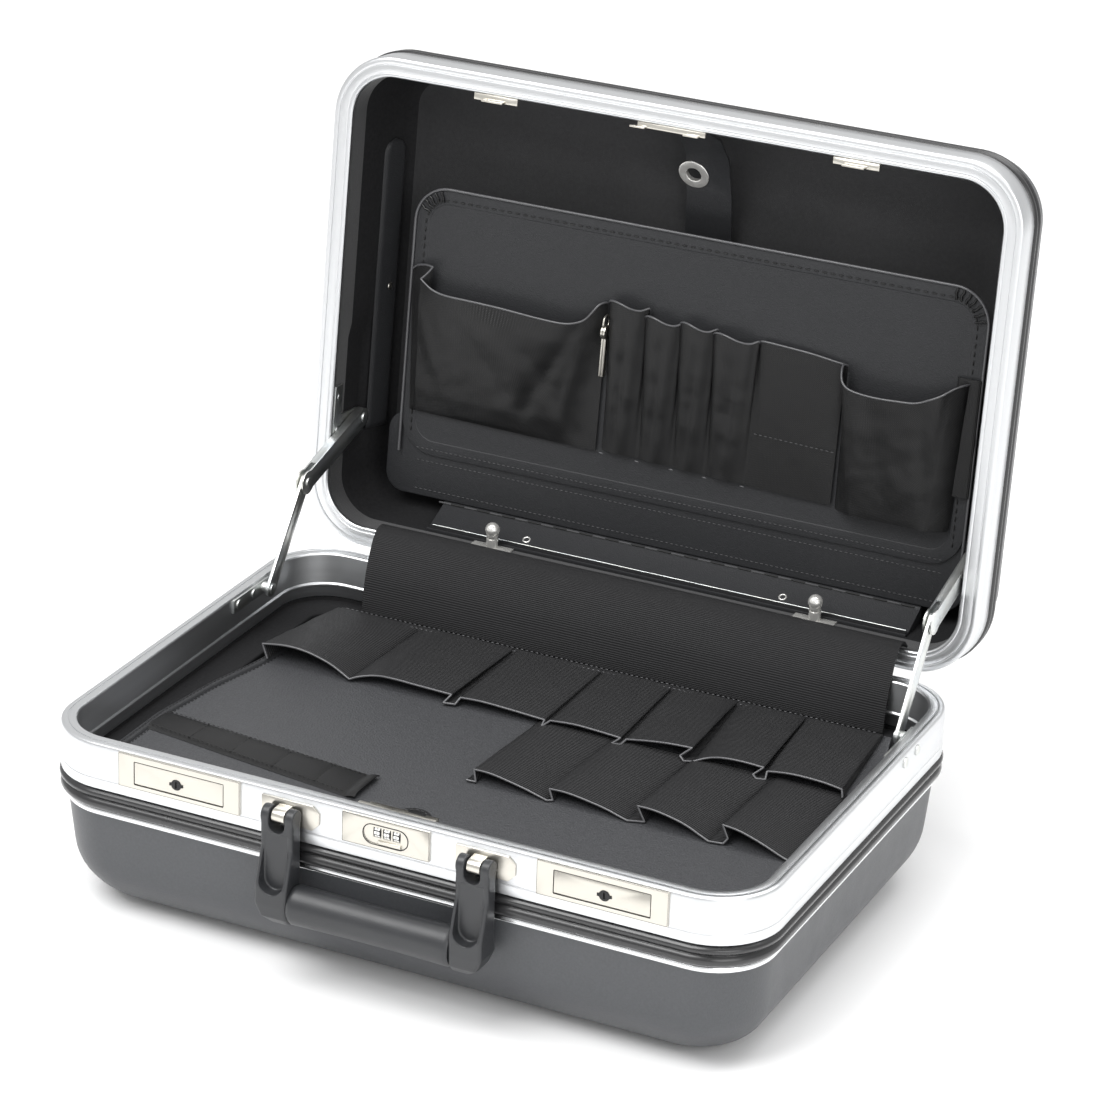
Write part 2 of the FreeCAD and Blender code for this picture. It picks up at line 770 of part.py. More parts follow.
# Stays: base bracket, lower bar, upper channel and lid bracket on each side
turn = math.radians(lid_angle)
p0 = (stay_pivot_y, parting - stay_pivot_drop)
dy = stay_lid_y - hinge_y
dz = stay_lid_rise + hinge_drop
p1 = (hinge_y + dy * math.cos(turn) + dz * math.sin(turn),
    axis_z - dy * math.sin(turn) + dz * math.cos(turn))
span = math.hypot(p1[0] - p0[0], p1[1] - p0[1])
along = (stay_lower_length ** 2 - stay_upper_length ** 2 + span ** 2) / (2 * span)
across = math.sqrt(stay_lower_length ** 2 - along ** 2)
uy = (p1[0] - p0[0]) / span
uz = (p1[1] - p0[1]) / span
elbow = (p0[0] + along * uy - across * uz, p0[1] + along * uz + across * uy)
bar_low = stay_bar_centre - stay_bar_thick / 2
bar_high = stay_bar_centre + stay_bar_thick / 2
cheek_in = stay_cheek_gap / 2
cheek_out = stay_cheek_gap / 2 + stay_cheek
wall_x = half_w - base_lip
lid_wall_x = half_w - lid_lining_face
hole = stay_pin_radius + stay_pin_play

plate_low = p0[1] - bracket_half
plate_high = p0[1] + bracket_half
base_bracket = box(wall_x - bracket_thick, wall_x, bracket_y_low, bracket_y_high, plate_low, plate_high)
boss = rod_x(bar_high + stay_pin_play, wall_x - bracket_thick, p0[0], p0[1], stay_head_radius)
pin = rod_x(bar_low - stay_pin_play, wall_x - bracket_thick, p0[0], p0[1], stay_pin_radius)
head = rod_x(bar_low - stay_pin_play - stay_head, bar_low - stay_pin_play, p0[0], p0[1], stay_head_radius)
base_bracket = base_bracket.fuse([boss, pin, head])
rivet_holes = []
for y in bracket_rivets:
    shank = rod_x(wall_x, half_w, y, p0[1], bracket_rivet_radius)
    outer_head = rod_x(half_w, half_w + bracket_rivet_dome, y, p0[1], bracket_rivet_head)
    inner_head = rod_x(wall_x - bracket_thick - bracket_rivet_dome, wall_x - bracket_thick, y, p0[1],
        bracket_rivet_head)
    base_bracket = base_bracket.fuse([shank, outer_head, inner_head])
    rivet_holes.append(rod_x(wall_x - bracket_thick, half_w + bracket_thick, y, p0[1],
        bracket_rivet_radius))
rivet_cut = rivet_holes[0].fuse(rivet_holes[1])
rivet_cut = rivet_cut.fuse(mirrored(rivet_cut))
base_frame = base_frame.cut(rivet_cut)
base_shell = base_shell.cut(rivet_cut)

lower = bar_yz(bar_low, bar_high, p0[0], p0[1], elbow[0], elbow[1], stay_bar_half)
lower = lower.cut(rod_x(bar_low, bar_high, p0[0], p0[1], hole))
lower = lower.cut(rod_x(bar_low, bar_high, elbow[0], elbow[1], hole))

c = stay_bar_centre
cheek = bar_yz(c + cheek_in, c + cheek_out, elbow[0], elbow[1], p1[0], p1[1], stay_cheek_half)
cheek = cheek.fuse(rod_x(c + cheek_in, c + cheek_out, elbow[0], elbow[1], stay_elbow_half))
second = bar_yz(c - cheek_out, c - cheek_in, elbow[0], elbow[1], p1[0], p1[1], stay_cheek_half)
second = second.fuse(rod_x(c - cheek_out, c - cheek_in, elbow[0], elbow[1], stay_elbow_half))
dy = (p1[0] - elbow[0]) / stay_upper_length
dz = (p1[1] - elbow[1]) / stay_upper_length
channel_web = box(c - cheek_in, c + cheek_in, stay_web_from, stay_upper_length + stay_web_to, 0,
    stay_cheek)
channel_web.translate(V(0, 0, stay_cheek_half - stay_cheek))
channel_web.rotate(V(0, 0, 0), V(1, 0, 0), math.degrees(math.atan2(dz, dy)))
channel_web.translate(V(0, elbow[0], elbow[1]))
upper = cheek.fuse([second, channel_web])
upper = upper.fuse(rod_x(c - cheek_out - stay_head, c + cheek_out, elbow[0], elbow[1], stay_pin_radius))
upper = upper.fuse(rod_x(c - cheek_out - stay_head, c - cheek_out, elbow[0], elbow[1], stay_head_radius))
upper = upper.fuse(rod_x(c - cheek_out - stay_head, c - cheek_out, p1[0], p1[1], stay_head_radius))
upper = upper.removeSplitter()

lid_pivot_z = parting + stay_lid_rise
foot_z = parting + lid_bracket_from
tab_face = lid_wall_x - bracket_thick
lid_bracket = box(tab_face, lid_wall_x, lid_bracket_low, lid_bracket_high, foot_z,
    foot_z + lid_bracket_plate)
tab = box(tab_face, lid_wall_x, stay_lid_y - lid_bracket_half, stay_lid_y + lid_bracket_half, foot_z,
    lid_pivot_z)
tab = tab.fuse(rod_x(tab_face, lid_wall_x, stay_lid_y, lid_pivot_z, lid_bracket_half))
lid_bracket = lid_bracket.fuse(tab)
for y in (lid_bracket_rivet_y, lid_bracket_high - lid_bracket_half):
    z = parting + lid_bracket_rivet_rise
    lid_bracket = lid_bracket.fuse(rod_x(tab_face - bracket_rivet_dome / 2, tab_face, y, z,
        bracket_rivet_radius))
lid_bracket = lid_bracket.removeSplitter()
# The padded wall leans, so a shallow recess takes the bracket and the channel's swing

save(base_bracket.removeSplitter(), "stay_base_bracket_right")
save(mirrored(base_bracket.removeSplitter()), "stay_base_bracket_left")
save(lower, "stay_lower_right")
save(mirrored(lower), "stay_lower_left")
save(upper, "stay_upper_right")
save(mirrored(upper), "stay_upper_left")
save_lid(lid_bracket, "stay_lid_bracket_right")
save_lid(mirrored(lid_bracket), "stay_lid_bracket_left")
pocket = box(c - cheek_out, lid_wall_x, stay_lid_y - stay_swing, lid_bracket_high + stay_recess,
    lining_low, lid_pivot_z + lid_bracket_half + stay_recess)
lid_lining = lid_lining.cut([pocket, mirrored(pocket)])
save_lid(lid_lining, "lid_lining")

# Latches: a fixed plate, a tipping flap and a key barrel each
for name, place, side in zip(("left", "right"), latch_places, (1, -1)):
    x0 = place - latch_width / 2
    x1 = place + latch_width / 2
    z1 = parting - latch_top_drop
    z0 = z1 - latch_height
    plate_y = front_y - latch_proud
    body = box(x0, x1, plate_y, front_y, z0, z1)
    w0 = place - flap_width / 2
    w1 = place + flap_width / 2
    f1 = parting - flap_top_drop
    f0 = f1 - flap_height
    body = body.cut(box(w0, w1, plate_y, front_y, f0, f1))
    pivot_y = front_y - latch_proud / 2
    pivot_z = f0 + flap_clear + flap_hinge_radius
    groove = rod_x(w0 - flap_trunnion_length, w1 + flap_trunnion_length, pivot_y, pivot_z,
        flap_trunnion + flap_trunnion_play)
    body = body.cut(groove)
    save(body, "latch_plate_" + name)
    flap = box(w0 + flap_clear, w1 - flap_clear, pivot_y - flap_hinge_radius, pivot_y + flap_hinge_radius,
        pivot_z, f1 - flap_clear)
    flap = flap.fuse(rod_x(w0 + flap_clear, w1 - flap_clear, pivot_y, pivot_z, flap_hinge_radius))
    reach = flap_trunnion_length - flap_clear
    flap = flap.fuse(rod_x(w0 - reach, w1 + reach, pivot_y, pivot_z, flap_trunnion))
    bx = place + side * barrel_shift
    bz = parting - barrel_drop
    bore = rod_y(bx, pivot_y - latch_proud, pivot_y + latch_proud, bz, barrel_radius + barrel_play)
    flap = flap.cut(bore)
    save(flap.removeSplitter(), "latch_flap_" + name)
    barrel = rod_y(bx, plate_y - barrel_proud, front_y + barrel_depth, bz, barrel_radius)
    key = box(bx - keyhole_width / 2, bx + keyhole_width / 2, plate_y - barrel_proud,
        plate_y - barrel_proud + keyhole_depth, bz - keyhole_height / 2, bz + keyhole_height / 2)
    barrel = barrel.cut(key)
    ears = box(bx - barrel_radius - barrel_ear, bx + barrel_radius + barrel_ear, plate_y - barrel_proud,
        plate_y, bz - barrel_ear_wide / 2, bz + barrel_ear_wide / 2)
    barrel = barrel.fuse(ears).cut(key).removeSplitter()
    save(barrel, "key_barrel_" + name)
    room = rod_y(bx, front_y, front_y + barrel_pocket_depth, bz, barrel_pocket)
    base_frame = base_frame.cut(room)

# Strikes and the lock's receiver on the lid's front lip
lip_y = -half_d + lid_lip
for name, place in zip(("left", "right"), strike_places):
    x0 = place - strike_width / 2
    x1 = place + strike_width / 2
    strike = box(x0, x1, lip_y, lip_y + strike_reach, rim, rim + strike_thick)
    strike = strike.fuse(box(x0, x1, lip_y, lip_y + strike_thick, rim, rim + web))
    t0 = place - tongue_width / 2
    t1 = place + tongue_width / 2
    ty = lip_y + tongue_at
    tongue = box(t0, t1, ty, ty + tongue_thick, rim - tongue_reach, rim)
    slot = box(t0 + tongue_thick * 2, t1 - tongue_thick * 2, ty, ty + tongue_thick,
        rim - tongue_reach + tongue_thick, rim - tongue_thick)
    strike = strike.fuse(tongue.cut(slot)).removeSplitter()
    save_lid(strike, "strike_" + name)
x0 = receiver_place - receiver_width / 2
x1 = receiver_place + receiver_width / 2
receiver = box(x0, x1, lip_y, lip_y + receiver_reach, rim, rim + strike_thick)
receiver = receiver.fuse(box(x0, x1, lip_y, lip_y + strike_thick, rim, rim + web))
for place in receiver_hook_places:
    h0 = place - receiver_hook_width / 2
    h1 = place + receiver_hook_width / 2
    hy = lip_y + receiver_reach - receiver_hook_thick
    hook = box(h0, h1, hy, hy + receiver_hook_thick, rim - receiver_hook_drop, rim)
    toe = box(h0 - receiver_hook_toe, h1, hy, hy + receiver_hook_thick, rim - receiver_hook_drop,
        rim - receiver_hook_drop + receiver_hook_thick)
    receiver = receiver.fuse([hook, toe])
save_lid(receiver.removeSplitter(), "lock_receiver")

# Lock case behind the front frame, slotted for the receiver's hooks
inner_y = front_y + base_lip
c0 = lock_place - case_box_width / 2
c1 = lock_place + case_box_width / 2
top = parting - case_box_top
lock_case = box(c0, c1, inner_y, inner_y + case_box_depth + case_slot_clear, top - case_box_height, top)
for place in receiver_hook_places:
    h0 = place - receiver_hook_width / 2 - receiver_hook_toe - case_slot_clear
    h1 = place + receiver_hook_width / 2 + case_slot_clear
    hy = lip_y + receiver_reach - receiver_hook_thick
    lock_case = lock_case.cut(box(h0, h1, hy - case_slot_clear, hy + receiver_hook_thick + case_slot_clear,
        rim - receiver_hook_drop - case_slot_clear, top))
save(lock_case, "lock_case")

# Combination lock: face plate with its body, three dials and a release slide
x0 = lock_place - lock_width / 2
x1 = lock_place + lock_width / 2
z1 = parting - lock_top_drop
z0 = z1 - lock_height
plate_y = front_y - latch_proud
oval_z = parting - lock_oval_drop
face = box(x0, x1, plate_y, front_y, z0, z1)
b0 = lock_place - lock_body_width / 2
b1 = lock_place + lock_body_width / 2
bz0 = oval_z - lock_body_height / 2
bz1 = oval_z + lock_body_height / 2
body = box(b0, b1, front_y, front_y + lock_body_depth, bz0, bz1)
face = face.fuse(body)
oval = plate(lock_place - lock_oval_width / 2, lock_place + lock_oval_width / 2, 0, lock_oval_height,
    0, lock_oval_depth, lock_oval_height * lock_oval_end_share)
oval.rotate(V(0, 0, 0), V(1, 0, 0), 90)
oval.translate(V(0, plate_y + lock_oval_depth, oval_z - lock_oval_height / 2))
face = face.cut(oval)
dial_y = front_y + dial_axis_depth
dial_z = oval_z + dial_rise
dial_centres = [lock_place + dial_shift + (k - 1) * dial_pitch for k in range(3)]
for x in dial_centres:
    half = dial_width / 2 + dial_play
    hollow = rod_x(x - half, x + half, dial_y, dial_z, dial_radius + dial_play)
    hollow = hollow.fuse(box(x - half, x + half, plate_y, dial_y, dial_z - dial_window_height / 2,
        dial_z + dial_window_height / 2))
    face = face.cut(hollow)
axle = rod_x(b0, b1, dial_y, dial_z, dial_axle_radius)
face = face.fuse(axle)
slide_z = oval_z - slide_drop
slide_x = lock_place + slide_shift
floor_y = plate_y + lock_oval_depth
channel = box(slide_x - slide_stem_width / 2 - slide_travel - slide_play,
    slide_x + slide_stem_width / 2 + slide_play,
    floor_y, floor_y + slide_stem + slide_play, slide_z - slide_stem_height / 2 - slide_play,
    slide_z + slide_stem_height / 2 + slide_play)
face = face.cut(channel)
save(face.removeSplitter(), "lock_plate")
room = box(b0 - lock_body_clear, b1 + lock_body_clear, front_y, front_y + base_lip - inner_flange,
    bz0 - lock_body_clear, bz1 + lock_body_clear)
base_frame = base_frame.cut(room)
base_shell = base_shell.cut(room)
for k, x in enumerate(dial_centres):
    dial = rod_x(x - dial_width / 2, x + dial_width / 2, dial_y, dial_z, dial_radius)
    dial = dial.cut(rod_x(x - dial_width, x + dial_width, dial_y, dial_z,
        dial_axle_radius + dial_axle_play))
    for n in range(dial_teeth):
        tooth = rod_x(x - dial_width, x + dial_width, dial_y, dial_z + dial_radius, dial_notch)
        tooth.rotate(V(x, dial_y, dial_z), V(1, 0, 0), (2 * n + 1) * 180.0 / dial_teeth)
        dial = dial.cut(tooth)
    save(dial, "lock_dial_" + str(k + 1))
slide = box(slide_x - slide_width / 2, slide_x + slide_width / 2, floor_y - slide_thick, floor_y,
    slide_z - slide_height / 2, slide_z + slide_height / 2)
stem = box(slide_x - slide_stem_width / 2, slide_x + slide_stem_width / 2, floor_y, floor_y + slide_stem,
    slide_z - slide_stem_height / 2, slide_z + slide_stem_height / 2)
save(slide.fuse(stem), "lock_slide")
save(base_shell.removeSplitter(), "base_shell")
save(base_frame, "base_frame")

# Handle: two brackets on the band, two arms and the grip
pivot_y = front_y - handle_pivot_out
pivot_z = parting - handle_pivot_drop
for name, place in zip(("left", "right"), handle_places):
    x0 = place + bracket_plate_shift - bracket_plate_width / 2
    x1 = place + bracket_plate_shift + bracket_plate_width / 2
    z1 = parting - bracket_plate_drop
    z0 = z1 - bracket_plate_height
    k = bracket_plate_corner
    y0 = front_y - bracket_plate_proud
    v = [V(x0, y0, z0), V(x1 - k, y0, z0), V(x1, y0, z0 + k), V(x1, y0, z1 - k), V(x1 - k, y0, z1),
        V(x0, y0, z1)]
    base = Part.Face(Part.Wire(Part.makePolygon(v + v[:1]))).extrude(V(0, bracket_plate_proud, 0))
    l0 = place - handle_loop_width / 2
    l1 = place + handle_loop_width / 2
    loop = rod_x(l0, l1, pivot_y, pivot_z, handle_loop_radius)
    loop = loop.fuse(box(l0, l1, pivot_y, y0, pivot_z - handle_loop_radius, pivot_z + handle_loop_radius))
    loop = loop.cut(rod_x(l0, l1, pivot_y, pivot_z, handle_pin_radius + handle_pin_play))
    save(base.fuse(loop).removeSplitter(), "handle_bracket_" + name)

grip_z = pivot_z - handle_arm_reach
grip_y = pivot_y - grip_out
for name, place, side in zip(("left", "right"), handle_places, (1, -1)):
    a0 = place - handle_arm_width / 2
    a1 = place + handle_arm_width / 2
    eye = rod_x(a0, a1, pivot_y, pivot_z, handle_eye_radius)
    t0 = pivot_y - handle_arm_thick / 2
    t1 = pivot_y + handle_arm_thick / 2
    low_y = grip_y
    low_half = handle_low_thick / 2
    low_top = grip_z + handle_low_height / 2
    low_end = grip_z - grip_radius_z
    sections = [
        (t0, t1, pivot_z), (t0, t1, pivot_z - handle_notch_drop * 2),
        (low_y - low_half, t1, low_top), (low_y - low_half, low_y + low_half, grip_z),
    ]
    wires = []
    for s0, s1, z in sections:
        wires.append(rounded(a0, a1, s0, s1, handle_edge, z))
    arm = Part.makeLoft(wires, True, True)
    e = handle_edge
    foot = [rounded(a0, a1, low_y - low_half, low_y + low_half, e, grip_z)]
    drop = grip_z - low_end
    outer_in = handle_corner * handle_corner_share
    foot.append(rounded(a0 + (outer_in if side > 0 else 0), a1 - (0 if side > 0 else outer_in),
        low_y - low_half * handle_belly_share, low_y + low_half * handle_belly_share, e,
            grip_z - drop * handle_belly_place_share))
    foot.append(rounded(a0 + (handle_corner if side > 0 else 0), a1 - (0 if side > 0 else handle_corner),
        low_y - low_half * handle_sole_share, low_y + low_half * handle_sole_share, e, low_end))
    arm = arm.fuse([Part.makeLoft(foot, True, True), eye])
    n0 = place - handle_notch_width / 2
    n1 = place + handle_notch_width / 2
    notch = box(n0, n1, t0 - handle_arm_thick, t1 + handle_arm_thick,
        pivot_z - handle_notch_drop + handle_notch_width / 2,
        pivot_z + handle_arm_thick)
    notch = notch.fuse(rod_y(place, t0 - handle_arm_thick, t1 + handle_arm_thick,
        pivot_z - handle_notch_drop + handle_notch_width / 2, handle_notch_width / 2))
    arm = arm.cut(notch)
    arm = arm.fuse(rod_x(n0 - handle_edge, n1 + handle_edge, pivot_y, pivot_z, handle_pin_radius))
    recess_low = pivot_z - handle_recess_drop
    recess = box(place - handle_recess_width / 2, place + handle_recess_width / 2, t0 - handle_arm_thick,
        t0 + handle_recess_depth, recess_low, pivot_z - handle_notch_drop)
    recess = recess.fuse(rod_y(place, t0 - handle_arm_thick, t0 + handle_recess_depth, recess_low,
        handle_recess_width / 2))
    arm = arm.cut(recess)
    save(arm.removeSplitter(), "handle_arm_" + name)
g0 = handle_places[0] + handle_arm_width / 2
g1 = handle_places[1] - handle_arm_width / 2


def oval_x(x, ry, rz):
    """An oval across X about the grip's line."""
    centre = V(x, grip_y, grip_z)
    return Part.Wire(Part.Edge(Part.Ellipse(centre + V(0, 0, rz), centre + V(0, ry, 0), centre)))


mid = (g0 + g1) / 2
quarter = (g1 - g0) / 4
waist_y = grip_radius_y * grip_waist_share
waist_z = grip_radius_z * grip_waist_share
wires = [
    oval_x(g0, grip_radius_y, grip_radius_z), oval_x(mid - quarter, waist_y, waist_z),
    oval_x(mid + quarter, waist_y, waist_z), oval_x(g1, grip_radius_y, grip_radius_z),
]
save(Part.makeLoft(wires, True, False), "handle_grip")

# Hinge cover: one ribbed sheet from the base's back wall over the hinge into the lid
points = [(y, parting + z) for y, z in zip(cover_y, cover_z)]
normals = []
for k in range(len(points)):
    a = points[max(k - 1, 0)]
    b = points[min(k + 1, len(points) - 1)]
    length = math.hypot(b[0] - a[0], b[1] - a[1])
    normals.append((-(b[1] - a[1]) / length, (b[0] - a[0]) / length))
front_side = [V(cover_left, y, z) for y, z in points]
back_side = [V(cover_left, p[0] - n[0] * cover_thick, p[1] - n[1] * cover_thick) for p,
    n in zip(points, normals)]
curve_a = Part.BSplineCurve()
curve_a.interpolate(front_side)
curve_b = Part.BSplineCurve()
curve_b.interpolate(back_side[::-1])
edges = [curve_a.toShape(), Part.makeLine(front_side[-1], back_side[-1]), curve_b.toShape(),
    Part.makeLine(back_side[0], front_side[0])]
cover = Part.Face(Part.Wire(edges)).extrude(V(cover_right - cover_left, 0, 0))
save(cover, "hinge_cover")

# Tool tray: board with two rows of pockets, a strip and a pull tab
tray_z = parting - tray_drop
left = [V(x, y, tray_z - tray_thick) for x, y in zip(tray_edge_x, tray_edge_y)]
right = [V(2 * tray_mirror_x - p.x, p.y, p.z) for p in left]
curve_l = Part.BSplineCurve()
curve_l.interpolate(left)
curve_r = Part.BSplineCurve()
curve_r.interpolate(right[::-1])
edges = [curve_l.toShape(), Part.makeLine(left[-1], right[-1]), curve_r.toShape(),
    Part.makeLine(right[0], left[0])]
tray = Part.Face(Part.Wire(edges)).extrude(V(0, 0, tray_thick))
save(tray, "tray_board")


def stations(y_sewn, y_mouth, shares):
    """Places along a pocket from its sewn end to its mouth, with the share of rise there."""
    mid_y = y_sewn + (y_mouth - y_sewn) * row_mid_place_share
    return [(y_sewn, shares[0]), (mid_y, shares[1]), (y_mouth, shares[2])]


row_shares = (row_far_share, row_mid_share, row_near_share)
save(pleats(row_back_x, row_back_rise, stations(row_back_from, row_back_to, row_shares), tray_z),
    "tray_pockets_back")
save(pleats(row_front_x, row_front_rise, stations(row_front_from, row_front_to, row_shares), tray_z),
    "tray_pockets_front")
v = [V(x, y, tray_z) for x, y in zip(strip_x, strip_y)]
strip = Part.Face(Part.Wire(Part.makePolygon(v + v[:1]))).extrude(V(0, 0, strip_thick))
end = box(strip_x[1] - strip_end, strip_x[1], strip_y[1], strip_y[2], tray_z, tray_z + strip_end_height)
save(strip.fuse(end).removeSplitter(), "tray_strip")
tab = rod_z(tab_x, tab_y, tray_z, tray_z + tab_thick, tab_radius)
tab = tab.fuse(box(tab_x - tab_radius, tab_x + tab_radius, tab_y - tab_radius, tab_y, tray_z,
    tray_z + tab_thick))
save(tab.removeSplitter(), "tray_pull_tab")

# Tool board in the lid, drawn closed
face_z = parting + board_depth
b = board_binding
panel = plate(board_left + b, board_right - b, board_top + b, board_low - b, face_z, face_z + board_thick,
    board_corner - b)
skirt_low = board_hinge_y - board_hinge_radius - board_hinge_play
skirt = plate(board_skirt_left, board_skirt_right, board_low - board_skirt_corner * 2, skirt_low,
    face_z + board_thick, face_z + board_thick + board_skirt_thick, board_skirt_corner)
skirt = skirt.fuse(box(board_skirt_left + board_skirt_corner, board_skirt_right - board_skirt_corner,
    board_low, skirt_low, face_z + board_thick - board_skirt_thick, face_z + board_thick))
board = panel.fuse(skirt).removeSplitter()
save_lid(board, "lid_board")
p = board_binding_proud
ring = plate(board_left, board_right, board_top, board_low, face_z - p, face_z + board_thick, board_corner)
ring = ring.cut(plate(board_left + b, board_right - b, board_top + b, board_low - b, face_z - p,
    face_z + board_thick, board_corner - b))
save_lid(ring, "lid_board_binding")

pocket_shares = (seam_share, belly_share, mouth_share)


def mouth_cut(xs, ys, far):
    """A cutter that gives a pocket its sagging mouth."""
    curve = Part.BSplineCurve()
    pts = [V(x, y, face_z) for x, y in zip(xs, ys)]
    curve.interpolate(pts)
    first = V(pts[0].x, far, face_z)
    last = V(pts[-1].x, far, face_z)
    edges = [curve.toShape(), Part.makeLine(pts[-1], last), Part.makeLine(last, first),
        Part.makeLine(first, pts[0])]
    tool = Part.Face(Part.Wire(edges)).extrude(V(0, 0, -board_depth))
    return tool


large = pleats(large_x, (large_rise,), stations(seam_y, large_mouth, pocket_shares), face_z, True)
large = large.cut(mouth_cut(large_cut_x, large_cut_y, board_top))
save_lid(large, "lid_pocket_large")
save_lid(pleats(loops_x, loops_rise, stations(seam_y, loops_mouth, pocket_shares), face_z, True),
    "lid_pocket_loops")
phone = pleats(phone_x, (phone_rise,), stations(seam_y, phone_mouth, pocket_shares), face_z, True)
phone = phone.cut(mouth_cut(phone_cut_x, phone_cut_y, board_top))
save_lid(phone, "lid_pocket_phone")

# Two keys on a ring, hanging from the large pocket's edge
key_z = face_z - key_out
ring = Part.makeTorus(key_ring_radius, key_ring_wire, V(key_x, key_y, key_z), V(1, 0, 0))
keys = ring
for s in (-1, 1):
    x = key_x + s * (key_thick + key_gap) / 2
    bow_y = key_y + key_ring_radius + key_bow_radius * key_bow_set_share
    one = rod_x(x - key_thick / 2, x + key_thick / 2, bow_y, key_z, key_bow_radius)
    blade = box(x - key_thick / 2, x + key_thick / 2, bow_y, bow_y + key_blade_length,
        key_z - key_blade_width / 2, key_z + key_blade_width / 2)
    keys = keys.fuse(one.fuse(blade))
save_lid(keys.removeSplitter(), "keys")

# Ledge below the board, with the bead the board folds on
bead_y = board_hinge_y
bead_z = face_z + board_thick / 2
ledge_z = parting + board_ledge_depth
r = board_hinge_radius
t = board_ledge_thick
foot_z = ledge_z - board_ledge_foot
wall_top = half_d - lining_inset(bead_z + t)
wall_foot = half_d - lining_inset(foot_z)
pts = [
    V(0, bead_y, bead_z - r), V(0, bead_y, bead_z + r), V(0, wall_top - t, bead_z + t), V(0, wall_top,
        bead_z + t),
    V(0, wall_foot, foot_z), V(0, wall_foot - t, foot_z), V(0, wall_foot - t, ledge_z),
]
ledge = Part.Face(Part.Wire(Part.makePolygon(pts + pts[:1])))
ledge.translate(V(board_ledge_left, 0, 0))
ledge = ledge.extrude(V(board_ledge_right - board_ledge_left, 0, 0))
ledge = ledge.fuse(rod_x(board_ledge_left, board_ledge_right, bead_y, bead_z, r))
save_lid(ledge.removeSplitter(), "lid_ledge")

# Strap behind the lock receiver, with a metal eyelet
n = len(strap_y)
wires = []
for k in range(n):
    f = k / (n - 1)
    x0 = strap_top_x[0] + (strap_low_x[0] - strap_top_x[0]) * f
    x1 = strap_top_x[1] + (strap_low_x[1] - strap_top_x[1]) * f
    a = max(k - 1, 0)
    c = min(k + 1, n - 1)
    ty = strap_y[c] - strap_y[a]
    tz = strap_z[c] - strap_z[a]
    length = math.hypot(ty, tz)
    ny = -tz / length * strap_thick
    nz = ty / length * strap_thick
    y = strap_y[k]
    z = parting + strap_z[k]
    corners = [V(x0, y, z), V(x1, y, z), V(x1, y + ny, z + nz), V(x0, y + ny, z + nz)]
    wires.append(Part.Wire(Part.makePolygon(corners + corners[:1])))
strap = Part.makeLoft(wires, True, True)
k = 2
ey = (strap_y[k] + strap_y[k + 1]) / 2
ez = parting + (strap_z[k] + strap_z[k + 1]) / 2
ty = strap_y[k + 1] - strap_y[k]
tz = strap_z[k + 1] - strap_z[k]
length = math.hypot(ty, tz)
normal = V(0, -tz / length, ty / length)
start = V(eyelet_x, ey, ez) - normal * eyelet_proud
height = strap_thick + 2 * eyelet_proud
eyelet = Part.makeCylinder(eyelet_outer, height, start, normal)
eyelet = eyelet.cut(Part.makeCylinder(eyelet_inner, height, start, normal))
seat = Part.makeCylinder(eyelet_inner + pocket_wall, height * 3, V(eyelet_x, ey, ez) - normal * height,
    normal)
strap = strap.cut(seat)
top = Part.makeCylinder(eyelet_outer * 2, eyelet_proud, start, normal)
core = Part.makeCylinder(eyelet_inner + pocket_wall, height, start, normal)
eyelet = eyelet.common(core).fuse(eyelet.common(top)).removeSplitter()
save_lid(strap, "lid_strap")
save_lid(eyelet, "strap_eyelet")

# Studs on the lid's lower wall
stud_z = parting + stud_depth
wall_y = half_d - lining_inset(stud_z)
for name, place in zip(("left", "right"), stud_places):
    stud = box(place - stud_plate_width / 2, place + stud_plate_width / 2, -stud_plate_thick, 0,
        -stud_plate_depth / 2, stud_plate_depth / 2)
    post = rod_y(place, -stud_plate_thick - stud_height, 0, 0, stud_radius)
    neck_far = -stud_plate_thick - stud_height * stud_neck_share
    ring = rod_y(place, neck_far, neck_far + stud_neck_reach, 0, stud_radius + stud_ball)
    ring = ring.cut(rod_y(place, neck_far, neck_far + stud_neck_reach, 0, stud_neck_radius))
    post = post.cut(ring)
    ball = Part.makeSphere(stud_ball, V(place, -stud_plate_thick - stud_height, 0))
    stud = stud.fuse([post, ball]).removeSplitter()
    stud.rotate(V(0, 0, 0), V(1, 0, 0), math.degrees(math.atan(slope)))
    stud.translate(V(0, wall_y, stud_z))
    save_lid(stud, "stud_" + name)
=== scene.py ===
import json
import math

import bpy
from bpy.props import FloatProperty, FloatVectorProperty, PointerProperty
from mathutils import Matrix, Vector, noise


